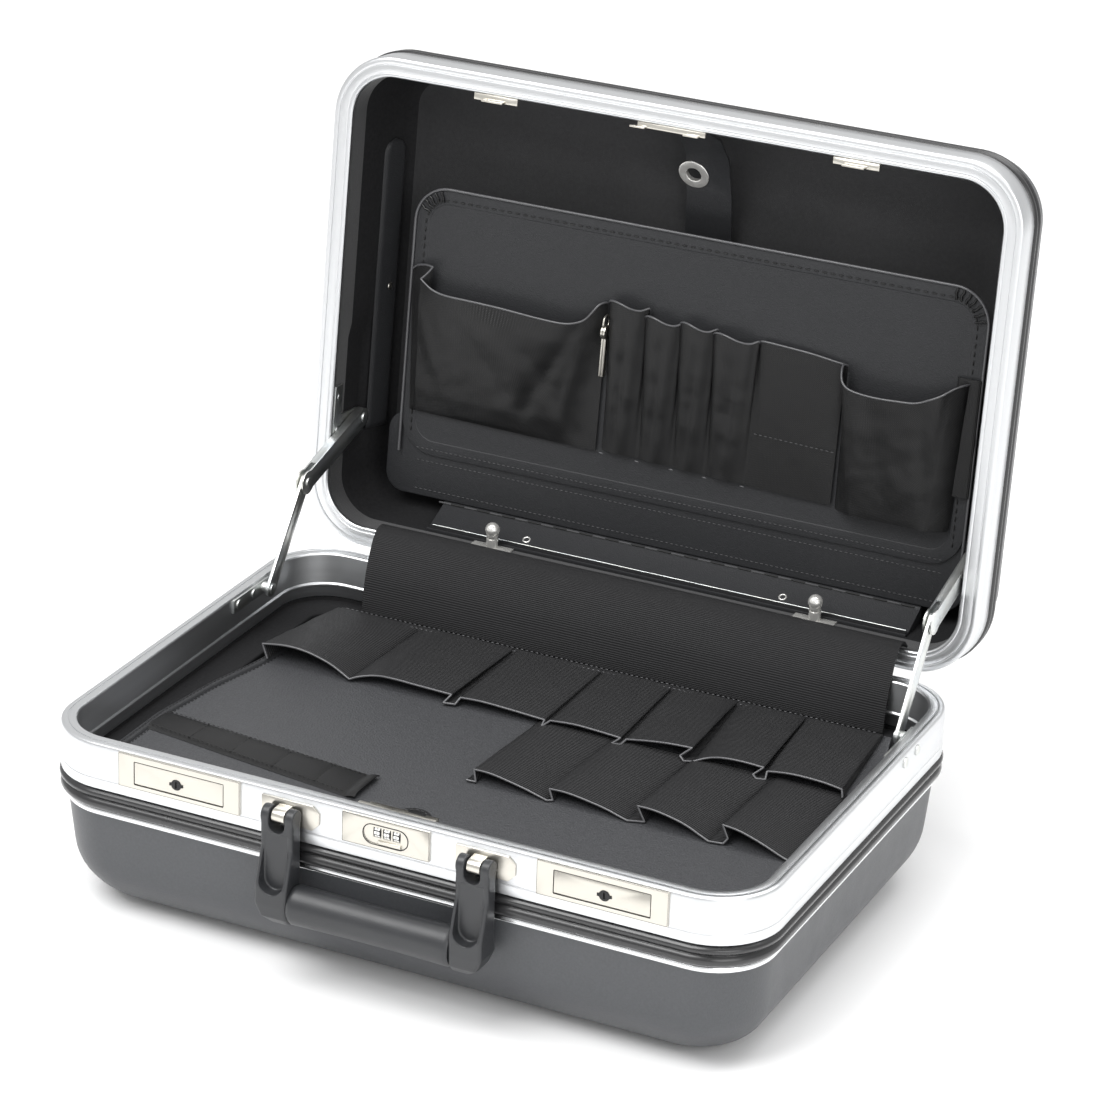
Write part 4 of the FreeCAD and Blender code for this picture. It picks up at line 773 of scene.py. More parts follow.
def pleated_seam(mouth, seams, y, ends, fullness):
    """The sewn end of a row of pockets, its pleats half as wide as in the (x, y, height, crease) mouth."""
    pleat = 11
    line = []
    for x, _, height, crease in mouth:
        seam = min(seams, key=lambda place: abs(place - x))
        away = x - seam
        squeeze = 0.5 if abs(away) < pleat else 0.5 + 0.5 * min(1.0, (abs(away) - pleat) / 5)
        share = (seam + away * squeeze - seams[0]) / (seams[-1] - seams[0])
        low = 1.0 + min(1.6, fullness * (height - 1))
        line.append((ends[0] + (ends[1] - ends[0]) * share, y, low, crease))
    return line


def piping(name, mouth, space):
    """A round edge that follows a mouth."""
    line = [Vector(point) for point in mouth]
    fine = []
    for a, b in zip(line, line[1:]):
        fine += [a, a.lerp(b, 0.5)]
    fine.append(line[-1])
    for _ in range(2):
        middle = [(a + b * 2 + c) / 4 for a, b, c in zip(fine, fine[1:], fine[2:])]
        fine = fine[:1] + middle + fine[-1:]
    points = [space(p.x, p.y, max(0.9, p.z) + 0.15) for p in fine]
    return smooth(tube(name, points, cloth_sizes().piping_radius), 80)


def straight(x0, y0, x1, y1):
    """Points about 4 mm apart along a straight line, in millimetres."""
    count = max(2, round(math.dist((x0, y0), (x1, y1)) / 4.0))
    return [(x0 + (x1 - x0) * k / count, y0 + (y1 - y0) * k / count) for k in range(count + 1)]


def sewn_line(name, line, space, height, size=1.0):
    """A line of stitches through (x, y) points on the tray or the lid's board, at a height over it."""
    c = cloth_sizes()
    normal = UP if space is on_tray else -UP
    points = [space(x, y, height) for x, y in line]

    def bead(at):
        thin = c.stitch_radius
        return Vector((at.z * c.stitch_length / 2, at.y * thin, at.x * thin)) * size

    places = []
    for point, along in along_path(points, c.stitch_pitch * size):
        side = normal.cross(along).normalized()
        up = along.cross(side)
        turn = Matrix((along, side, up)).transposed().to_4x4()
        places.append(Matrix.Translation(point + up * c.stitch_radius * 0.5) @ turn)
    return smooth(repeated(name, ball("stitch", 6, 5, bead), places), 80)


def scribed(name, x0, x1, z0, z1, y, radius=0.22, corner=0.7):
    """A fine cord round an upright rectangle of the front, with its heights from the parting line, drawn
    dark as painted shade along an edge.
    """
    path = []
    for cx, cz, start in ((x1 - corner, z1 - corner, 0), (x0 + corner, z1 - corner, 90),
                          (x0 + corner, z0 + corner, 180), (x1 - corner, z0 + corner, 270)):
        for k in range(7):
            turn = math.radians(start + 15 * k)
            path.append(lid_point(cx + corner * math.cos(turn), y, cz + corner * math.sin(turn)))
    return smooth(tube(name, path + path[:1], radius * MM, 6, closed=True), 80)


class CASE_OT_finishes(bpy.types.Operator):
    """Makes the finishes"""
    bl_idname = "case.finishes"
    bl_label = "Finishes"

    def execute(self, context):
        make_hard_finishes(context.scene.case_colours)
        make_soft_finishes(context.scene.case_colours)
        return {"FINISHED"}


class CASE_OT_shells(bpy.types.Operator):
    """Moulds the two shells"""
    bl_idname = "case.shells"
    bl_label = "Shells"

    def execute(self, context):
        shell(lid=False)
        shell(lid=True)
        return {"FINISHED"}


class CASE_OT_frames(bpy.types.Operator):
    """Bends the two frames, the bumpers and the beads"""
    bl_idname = "case.frames"
    bl_label = "Frames and trim"

    def execute(self, context):
        s = shell_sizes()
        steps = 128
        for lid in (False, True):
            half = "lid" if lid else "base"
            side = 1 if lid else -1
            section = [(inset * MM, PARTING + z * MM) for inset, z in frame_section(lid)]
            obj = belt(half + "_frame_band", section, steps)
            modify(obj, "BEVEL", width=0.25 * MM, segments=2, limit_method="ANGLE",
                   angle_limit=math.radians(25))
            finished(smooth(obj, 40), half, "frame", "frame_aluminium", half + "_frame")
            start = PARTING + side * (s.lid_band_height if lid else s.band_height)
            obj = belt(half + "_rubber", rubber_section(start, side), steps)
            finished(smooth(obj, 50), half, "bumper", "bumper_rubber", half + "_bumper")
            obj = belt(half + "_bright_bead", bead_section(start + side * s.bumper_height, side), steps)
            finished(smooth(obj, 50), half, "bead", "trim_bright", half + "_bead")
        return {"FINISHED"}


def lining_rings():
    """Inset, depth and corner radius of the lid's lining in millimetres, from its rim to its middle."""
    corner = shell_sizes().corner_radius / MM
    points = [(12.4, 3.8, corner - 12.4), (14.4, 25, corner - 14.6), (16.6, 47, corner - 16.6),
              (19.4, 60, corner - 19.6), (23.4, 69.5, corner - 23), (32, 76.5, 17.0), (48, 81.3, 13.0),
              (66, 81.5, 12.0)]
    rings = [tuple(point) for point in through(points, 5)]
    inset, depth, radius = rings[-1]
    roof_steps = 14
    for k in range(1, roof_steps + 1):
        rings.append((inset + (HALF_DEPTH / MM - 0.02 - inset) * k / roof_steps, depth, radius))
    return rings


class CASE_OT_linings(bpy.types.Operator):
    """Lines both halves, and pads the lid's sides"""
    bl_idname = "case.linings"
    bl_label = "Linings"

    def execute(self, context):
        self.base_lining()
        self.lid_lining()
        for side, word in ((-1, "left"), (1, "right")):
            self.side_pad(side, word)
            self.pad_screw(side, word)
        return {"FINISHED"}

    def base_lining(self):
        """The base's lining, with the ledge that the tray rests on."""
        profile = half_profile(PARTING, rim_drop(False), 31 * MM, shell_sizes().edge_radius, 4.9 * MM)
        obj = bowl("base_lining_cloth", [(inset, PARTING - d, radius) for inset, d, radius in profile], 96)
        modify(obj, "SOLIDIFY", thickness=1.2 * MM, offset=1)
        section = [(8.2, -34.2), (8.2, -39.8), (31.2, -39.8), (32, -39), (32, -35), (31.2, -34.2)]
        ledge = belt("ledge", [(a * MM, PARTING + b * MM) for a, b in section], 96)
        modify(ledge, "BEVEL", width=0.5 * MM, segments=2, limit_method="ANGLE")
        obj = smooth(joined("base_lining_cloth", [obj, ledge]))
        finished(obj, "base", "felt", "lining_cloth", "base_lining")

    def lid_lining(self):
        """The lid's lining: a loose roof, and walls that step back where the stays fold in."""
        rings = lining_rings()
        count = len(rings) - 1
        roof_inset = 26
        stay_y, stay_half, stay_depth = 68, 40, 44
        pocket_x = 228.0

        def place(u, v):
            inset, depth, corner = rings[round(v * count)]
            point = outline_point(u, inset * MM, corner * MM)
            x, y = point.x / MM, point.y / MM
            roof = max(0.0, min(1.0, (inset - roof_inset) / 16))
            billow = drift(x, y * 1.3, 62, 5) * 3.2 + drift(x * 0.8, y, 26, 9) * 1.5
            depth -= roof * (1.6 + billow + drift(x, y, 12, 2) * 0.35)
            stay = max(0.0, 1 - max(0.0, abs(y - stay_y) - stay_half) / 6)
            stay *= max(0.0, 1 - max(0.0, depth - stay_depth) / 5)
            if abs(x) > 200 and stay > 0:
                x += math.copysign(max(0.0, pocket_x - abs(x)) * stay, x)
            else:
                x += math.copysign((1 - roof) * drift(y, depth, 20, 4) * 0.25, -x)
            return lid_point(x, y, depth)

        obj = pad("lid_lining_cloth", 192, count, place, (PERIMETER, 0.24), 1.0, 1)
        # Only the rim and the roof take the lighter lining; the walls keep the darker felt as painted
        # shade.
        painted_lit_faces = [not 18 * MM < face.center.z - PARTING < 73 * MM for face in obj.data.polygons]
        finished(obj, "lid", "felt", "lining_cloth", "lid_lining")
        obj.data.materials.append(MATERIALS["lining"])
        for face, light in zip(obj.data.polygons, painted_lit_faces):
            face.material_index = int(light)

    def side_pad(self, side, word):
        """A raised leatherette strip with a curved end on the side wall."""
        half = 100.5
        low, high = 45.5, 66.0

        def place(u, v):
            along = -1 + 2 * u
            end = max(0.0, abs(along) * half - (half - 12)) / 12
            trim = 1 - math.sqrt(max(0.0, 1 - end * end)) if along < 0 else 0
            depth = (low + high) / 2 + (v - 0.5) * (high - low) * (1 - trim * 0.95)
            edge = min(1.0, min(v, 1 - v) * 9) * min(1.0, (1 - abs(along)) * half / 2.5)
            wall = HALF_WIDTH / MM - (16.6 + max(0.0, depth - 47) * 0.27) - 0.3
            x = wall - 1.9 * math.sqrt(max(0.0, edge)) - 0.1
            return lid_point(side * x, -0.5 + along * half, depth)

        obj = pad("lid_side_pad_" + word, 90, 14, place, (0.2, 0.02), 1.0, -side)
        finished(obj, "lid", "leatherette", "lining_leatherette")

    def pad_screw(self, side, word):
        """The slotted round head that holds a side pad."""
        radius = 2.7

        def place(at):
            height = 0.75 if abs(at.y) < 0.14 and at.z > 0.2 else 1.1
            x = 218.3 - max(0.0, at.z) * height
            return lid_point(side * x, 1 + at.x * radius, 57.6 + at.y * radius)

        screw = ball("lid_pad_screw_" + word, 20, 10, place)
        finished(smooth(screw, 40), "lid", "nickel", "hardware_nickel")


# The cover's section, as (y, height over the parting line), from the base's back wall into the lid
COVER = ((147.0, -33.0), (148.6, -22.0), (151.6, -8.5), (155.6, 2.2), (160.6, 12.2), (165.6, 18.6),
         (171.0, 20.6), (177.0, 19.6), (182.4, 14.4))
COVER_LEFT = -181
COVER_WIDTH = 375


class CASE_OT_hinges(bpy.types.Operator):
    """Makes the hinges and the ribbed cover over them"""
    bl_idname = "case.hinges"
    bl_label = "Hinges and cover"

    def execute(self, context):
        for side in SIDES:
            machined_piece("hinge_leaf_base_" + side, "base", "zinc", "hinge_steel", 0.3)
            machined_piece("hinge_leaf_lid_" + side, "lid", "zinc", "hinge_steel", 0.3)
        line = through([(y, z, 0) for y, z in COVER], 7)
        count = len(line) - 1

        def place(u, v):
            k = round(v * count)
            along = line[min(k + 1, count)] - line[max(k - 1, 0)]
            out = Vector((-along.y, along.x, 0)).normalized()
            x = COVER_LEFT + COVER_WIDTH * u
            free = math.sin(math.pi * v) ** 0.7 if 0 < v < 1 else 0
            sunk = 0.8 - free * (0.9 * drift(x, v * 40, 90, 6) + 0.25 * drift(x, v * 60, 22, 8))
            return lid_point(x, line[k].x - out.x * sunk, line[k].y - out.y * sunk)

        flat = (COVER_WIDTH * MM, reach(line) * MM)
        obj = pad("hinge_cover_cloth", 150, count, place, flat, 1.3, 0)
        finished(obj, None, "cover", "cover_cloth", "hinge_cover")
        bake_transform(obj)
        return {"FINISHED"}


class CASE_OT_stays(bpy.types.Operator):
    """Makes the two jointed stays"""
    bl_idname = "case.stays"
    bl_label = "Stays"

    def execute(self, context):
        for side in SIDES:
            machined_piece("stay_base_bracket_" + side, "base", "zinc", "stay_zinc", 0.25)
            machined_piece("stay_lid_bracket_" + side, "lid", "zinc", "stay_zinc", 0.25)
            machined_piece("stay_lower_" + side, "stay_bar_" + side, "zinc", "stay_zinc", 0.35)
            machined_piece("stay_upper_" + side, "stay_channel_" + side, "zinc", "stay_zinc", 0.3)
        return {"FINISHED"}


class CASE_OT_latches(bpy.types.Operator):
    """Makes the latches, keyholes, strikes and receiver"""
    bl_idname = "case.latches"
    bl_label = "Latches"

    def execute(self, context):
        for side in SIDES:
            flap = "flap_" + side
            machined_piece("latch_plate_" + side, "base", "nickel", "hardware_nickel", 0.3, 3)
            machined_piece("latch_flap_" + side, flap, "nickel", "hardware_nickel", 0.3, 3)
            machined_piece("key_barrel_" + side, "key_cylinder_" + side, "dark", "hardware_nickel", 0.2)
            machined_piece("strike_" + side, "lid", "nickel", "hardware_nickel", 0.25)
            low, high = (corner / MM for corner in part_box("latch_plate_" + side))
            # Dark cords painted as the shade in the gaps round each latch plate and round its flap.
            edge = scribed("latch_painted_shade_" + side, low.x + 0.3, high.x - 0.3, -23.1, -1.3, low.y + 0.16)
            finished(edge, "base", "dark", "hardware_nickel")
            middle = (low.x + high.x) / 2
            name = "flap_painted_shade_" + side
            line = scribed(name, middle - 31.0, middle + 31.0, -20.5, -5.1, low.y + 0.05, 0.2)
            finished(line, flap, "dark", "hardware_nickel")
        machined_piece("lock_receiver", "lid", "nickel", "hardware_nickel", 0.25)
        machined_piece("lock_case", "base", "nickel", "hardware_nickel", 0.4)
        return {"FINISHED"}


class CASE_OT_lock(bpy.types.Operator):
    """Makes the combination lock"""
    bl_idname = "case.lock"
    bl_label = "Combination lock"

    def execute(self, context):
        machined_piece("lock_plate", "base", "nickel", "hardware_nickel", 0.25)
        low, high = (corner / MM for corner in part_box("lock_plate"))
        # Dark cords painted as the shade round the lock plate and inside its oval bezel.
        edge = scribed("lock_painted_shade", low.x + 0.3, high.x - 0.3, -21.2, -2.2, low.y + 0.16)
        oval = scribed("lock_oval_painted_shade", -11.3, 18.7, -18.7, -5.7, low.y + 0.05, 0.34, 6.3)
        finished(joined("lock_painted_shade", [edge, oval]), "base", "dark", "hardware_nickel")
        machined_piece("lock_slide", "lock_release", "nickel", "hardware_nickel", 0.25)
        for k in (1, 2, 3):
            machined_piece("lock_dial_%d" % k, "dial_%d" % k, "dark", "dial_dark", 0.15)
            self.digits(k)
        return {"FINISHED"}

    def digits(self, k):
        """Plain dark figures on light tiles round one dial."""
        low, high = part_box("lock_dial_%d" % k)
        radius = (high.z - low.z) / 2
        signs = []
        tiles = []
        for number in range(10):
            turn = Matrix.Rotation(math.radians(90 + 36 * number), 4, "X")
            at = Matrix.Translation((low + high) / 2) @ turn
            clear_selection()
            bpy.ops.object.text_add(location=(0, 0, 0))
            sign = bpy.context.object
            sign.data.body = str(number)
            sign.data.size = 2.1 * MM
            sign.data.extrude = 0.03 * MM
            sign.data.align_x = "CENTER"
            sign.data.align_y = "CENTER"
            bpy.ops.object.convert(target="MESH")
            sign.data.transform(at @ Matrix.Translation((0, 0, radius + 0.045 * MM)))
            signs.append(sign)
            tile = plate("tile", (-1.75, -1, -0.5), (1.75, 1, 0.04), 0.4, 0.05, 3)
            tile.data.transform(at @ Matrix.Translation((0, 0, radius)))
            tiles.append(tile)
        finished(joined("dial_figures_%d" % k, signs), "dial_%d" % k, "dark", "dial_dark")
        finished(joined("dial_tiles_%d" % k, tiles), "dial_%d" % k, "figures", "dial_dark")


class CASE_OT_handle(bpy.types.Operator):
    """Moulds the handle and its brackets"""
    bl_idname = "case.handle"
    bl_label = "Handle"

    def execute(self, context):
        for side in SIDES:
            machined_piece("handle_bracket_" + side, "base", "nickel", "hardware_nickel", 0.45, 3)
            name = "handle_arm_" + side
            arm = machined(name, 0)
            modify(arm, "REMESH", mode="VOXEL", voxel_size=0.55 * MM)
            modify(arm, "SMOOTH", factor=0.5, iterations=8)
            modify(arm, "DECIMATE", ratio=0.5)
            finished(smooth(arm, 70), "handle", "handle", "handle_plastic", name)
        low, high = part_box("handle_grip")
        centre = (low + high) / 2
        half = (high - low) / 2

        def place(u, v):
            share = -1 + 2 * v
            end = max(0.0, abs(share) - 0.955) / 0.045
            slim = 1 - 0.055 * (1 - share * share) - 0.10 * end * end
            turn = u * 2 * math.pi
            ring = 1 + 0.012 * math.cos(2 * turn)
            return Vector((centre.x + share * half.x, centre.y + half.y * slim * ring * math.cos(turn),
                           centre.z + half.z * slim * math.sin(turn)))

        grip = tidy(lattice("handle_grip_body", 48, 60, place, (0.075, 0.11)))
        finished(smooth(tidy(close_ends(grip)), 50), "handle", "handle", "handle_plastic", "handle_grip")
        return {"FINISHED"}


TRAY_FRONT = -147
TRAY_DEPTH = 286

# The corners of the tray's side edges, as (y, distance from the middle)
TRAY_LEFT = ((-147, 217), (-60, 217), (-15, 212), (44, 200), (100, 192), (139, 188))
TRAY_RIGHT = ((-147, 220), (0, 220), (60, 217), (110, 211), (139, 203))


def side_edge(y, corners, ease):
    """How far from the middle a side of the tray lies at y, through its (y, distance) corners."""
    for (y0, x0), (y1, x1) in zip(corners, corners[1:]):
        if y <= y1:
            t = (y - y0) / (y1 - y0)
            t += ease * (t * t * (3 - 2 * t) - t)
            return x0 + (x1 - x0) * t
    return corners[-1][1]


def left_edge(y):
    return -side_edge(y, TRAY_LEFT, 0.3)


class CASE_OT_tray(bpy.types.Operator):
    """Makes the tool tray's board, strip and pull tab"""
    bl_idname = "case.tray"
    bl_label = "Tray"

    def execute(self, context):
        def place(u, v):
            y = TRAY_FRONT + TRAY_DEPTH * v
            left = left_edge(y)
            width = side_edge(y, TRAY_RIGHT, 0) - left
            x = left + width * u
            round_off = min(1.0, min(u, 1 - u) * width / 2.0, min(v, 1 - v) * TRAY_DEPTH / 2.0)
            h = -0.25 + 0.25 * math.sqrt(max(0.0, round_off)) + 0.12 * drift(x, y, 60, 3)
            return on_tray(x, y, min(0, h))

        board = pad("tray_board_skin", 100, 80, place, (0.43, TRAY_DEPTH * MM), 3.8, angle=50)
        finished(board, "tray", "grain", "lining_leatherette", "tray_board")
        self.edge_band()
        self.strip()
        self.tab()
        return {"FINISHED"}

    def edge_band(self):
        """The folded edge down the tray's left side, sewn with two lines."""
        count = 35
        band = []
        for k in range(count + 1):
            y = -140 + 268 * k / count
            band.append((left_edge(y) + 1.2, y))

        def place(u, v):
            x, y = band[round(v * count)]
            h = 0.3 + 1.8 * math.sin(math.pi * u) ** 0.6 if 0 < u < 1 else 0.05
            return on_tray(x + 6.0 * u, y, h)

        obj = pad("tray_edge_band", 10, count, place, (0.006, 0.27), 0.6, angle=70)
        finished(obj, "tray", "leatherette", "lining_leatherette")
        lines = [sewn_line("line", [(x + across, y) for x, y in band], on_tray, h)
                 for across, h in ((3.0, 2.1), (6.8, 0.1))]
        finished(joined("tray_edge_stitches", lines), "tray", "dark", "lining_leatherette")

    def strip(self):
        """The slanting strip with five loops for small tools."""
        loops = 5
        a, b, c, d = (Vector((*p, 0)) for p in ((-212, -82), (-51, -105), (-51, -72), (-210, -55.5)))

        def place(u, v):
            point = a.lerp(b, v).lerp(d.lerp(c, v), u)
            lift = 1.2 + 0.9 * math.sin(math.pi * u) ** 0.5 if 0 < u < 1 else 0.3
            loop = 0.5 * abs(math.sin(math.pi * v * loops)) ** 0.4
            end = max(0.0, (v - 0.955) / 0.045)
            return on_tray(point.x, point.y, lift + loop * math.sin(math.pi * u) + 2.1 * end * (2 - end))

        obj = pad("tray_strip_band", 12, 110, place, (0.033, 0.163), 0.8)
        finished(obj, "tray", "cloth", "lining_leatherette", "tray_strip")
        lines = []
        for k in range(1, loops):
            start = a.lerp(b, k / loops)
            stop = d.lerp(c, k / loops)
            across = straight(start.x, start.y + 2, stop.x, stop.y - 2)
            lines.append(sewn_line("line", across, on_tray, 1.9))
        for share in (0.1, 0.9):
            start = a.lerp(d, share)
            stop = b.lerp(c, share)
            along = straight(start.x + 2, start.y, stop.x - 8, stop.y)
            lines.append(sewn_line("line", along, on_tray, 2.5))
        finished(joined("tray_strip_stitches", lines), "tray", "dark", "lining_leatherette")

    def tab(self):
        """The pull tab: a raised tongue with a straight front end, sewn round its other end."""
        centre_x, centre_y = -8, -112
        radius = 12

        def place(u, v):
            turn = u * 2 * math.pi
            out = min(1.0, v * 2)
            x = radius * out * math.cos(turn)
            y = radius * out * math.sin(turn)
            if y < 0:
                y = max(y * 1.25, -12.0)
                x = radius * out * math.copysign(abs(math.cos(turn)) ** 0.45, math.cos(turn))
            h = 2.6 + 0.5 * (1 - out) if v <= 0.5 else 2.6 * (2 - v * 2)
            return on_tray(centre_x + x, centre_y + y, max(0.1, h))

        obj = tidy(lattice("tray_tab_leather", 48, 12, place, (0.07, 0.02)))
        finished(smooth(obj, 50), "tray", "cloth", "lining_leatherette", "tray_pull_tab")
        line = []
        for k in range(19):
            turn = math.pi * k / 18
            line.append((centre_x + 9.6 * math.cos(turn), centre_y + 9.6 * math.sin(turn)))
        seam = sewn_line("tray_tab_stitches", line, on_tray, 2.75)
        finished(seam, "tray", "thread", "lining_leatherette")


class CASE_OT_tray_pockets(bpy.types.Operator):
    """Sews the two rows of pockets on the tray"""
    bl_idname = "case.tray_pockets"
    bl_label = "Tray pockets"

    def execute(self, context):
        back = ((-194, 41.5, 1, 1), (-199, 44, 9.5, 1), (-182, 45, 11.5, 0), (-166, 45, 10.6, 0),
                (-150, 44, 7, 0), (-140, 42.4, 3.4, 0), (-133, 40.5, 1, 1), (-127, 43, 3.2, 0),
                (-116, 45, 5.6, 0), (-104, 45, 6.4, 0), (-84, 45, 5.8, 0), (-61.5, 45, 5.2, 1),
                (-64.5, 39.5, 1, 1), (-57, 41, 1, 1), (-55, 45, 4.6, 1), (-40, 45, 5.4, 0),
                (-20, 45, 4.6, 0), (4.5, 45, 3.2, 1), (5, 39.5, 1, 1), (8.5, 45, 3.6, 1),
                (25, 45, 5, 0), (42, 45, 4.4, 0), (57.5, 45, 3.4, 1), (54, 39.5, 1, 1),
                (59.5, 40.5, 1, 1), (61.5, 45, 3.4, 1), (78, 45, 6.2, 0), (93, 45, 7.8, 0),
                (106.5, 45, 8.4, 1), (100, 41.5, 3, 1), (103.5, 39.5, 1, 1), (109, 41.5, 1.2, 1),
                (117, 44.5, 4.2, 0), (127, 45, 6.6, 0), (141, 45, 7.4, 0), (155, 45, 6.8, 1),
                (149.5, 41.5, 2.2, 1), (152.5, 39.5, 1, 1), (158, 41, 1, 1), (157.5, 45, 4.9, 1),
                (174, 45, 7, 0), (194, 45, 6.6, 0), (207.5, 44.5, 5, 1), (209, 42, 1, 1))
        back = [(x, y, height + 0.8, crease) for x, y, height, crease in back]
        seams = (-198, -133, -62, 6, 57, 104, 154, 209)
        self.row("back", back, seams, (-191, 199), 133.5, 0.4, 11)
        front = ((-3, -49, 1, 1), (3, -48.5, 1, 1), (0, -45, 7.2, 1), (12, -45.5, 7.4, 0),
                 (33, -47, 4.4, 0), (46, -48.5, 2, 0), (52, -49.5, 1, 1), (55, -47.5, 1, 1),
                 (51.5, -45, 6.8, 1), (65, -45.5, 7.2, 0), (88, -47, 4.4, 0), (100, -48.5, 2, 0),
                 (106, -49.5, 1, 1), (116, -46, 1, 1), (110.5, -45, 10, 1), (123, -45.5, 10, 0),
                 (141, -46.5, 6.8, 0), (154, -48.5, 2.6, 0), (160, -50, 1, 1), (169, -48.5, 1, 1),
                 (171, -46.5, 4, 1), (166.5, -44.5, 11.2, 1), (178, -45.5, 10.4, 0), (193, -47, 6.6, 0),
                 (206, -49, 2.6, 0), (213, -50, 1, 1))
        self.row("front", front, (0, 52.5, 108, 165, 213), (1, 210), 48, 0.08, 23)
        self.tape()
        return {"FINISHED"}

    def row(self, word, points, seams, ends, sewn_y, fullness, seed):
        """A row of pockets from the (x, y, height, crease) points of its mouth."""
        name = "tray_%s_row" % word
        mouth = creased(points)
        sewn = creased(pleated_seam(points, seams, sewn_y, ends, fullness))
        obj = sewn_cloth(name, mouth, sewn, on_tray, 26, lambda v: v ** 0.85, None, seed, 0.45)
        finished(obj, "tray", "ribbed", "pocket_cloth", "tray_pockets_" + word)
        edge = finished(piping(name + "_piping", mouth, on_tray), "tray", "piping", "pocket_cloth")

    def tape(self):
        """The double stitched tape that holds the rear row down."""
        def place(u, v):
            x = -190 + 389 * u
            y = 128.6 + 8.6 * v
            h = 1.9 + 0.5 * math.sin(math.pi * v) ** 0.5 + 0.2 * drift(x, y, 9, 3) if 0 < v < 1 else 1.0
            return on_tray(x, y, h)

        obj = pad("tray_tape", 120, 8, place, (0.389, 0.009), 0.6)
        finished(obj, "tray", "cover", "pocket_cloth")
        lines = [sewn_line("line", straight(-187, y, 196, y), on_tray, 2.55) for y in (130.4, 135.2)]
        finished(joined("tray_tape_stitches", lines), "tray", "piping", "pocket_cloth")


def arch_path(x0, x1, y0, y1, radius, steps):
    """Points along three sides of a rectangle, from (x0, y1) round its two corners at y0 to (x1, y1)."""
    points = [(x0, y1)]
    for cx, start in ((x0 + radius, 180), (x1 - radius, 270)):
        for k in range(steps + 1):
            turn = math.radians(start + 90 * k / steps)
            points.append((cx + radius * math.cos(turn), y0 + radius + radius * math.sin(turn)))
    points.append((x1, y1))
    return points


# Where the sloping face of the shut lid's ledge looks
LEDGE_FACING = Vector((0, -0.861, -0.508))


def ledge_point(x, share, proud):
    """A point over the ledge's sloping face, from its fold at share 0 to its foot at 1."""
    return lid_point(x, 140.5 + 10.62 * share, 45.3 - 18.3 * share) + LEDGE_FACING * proud * MM


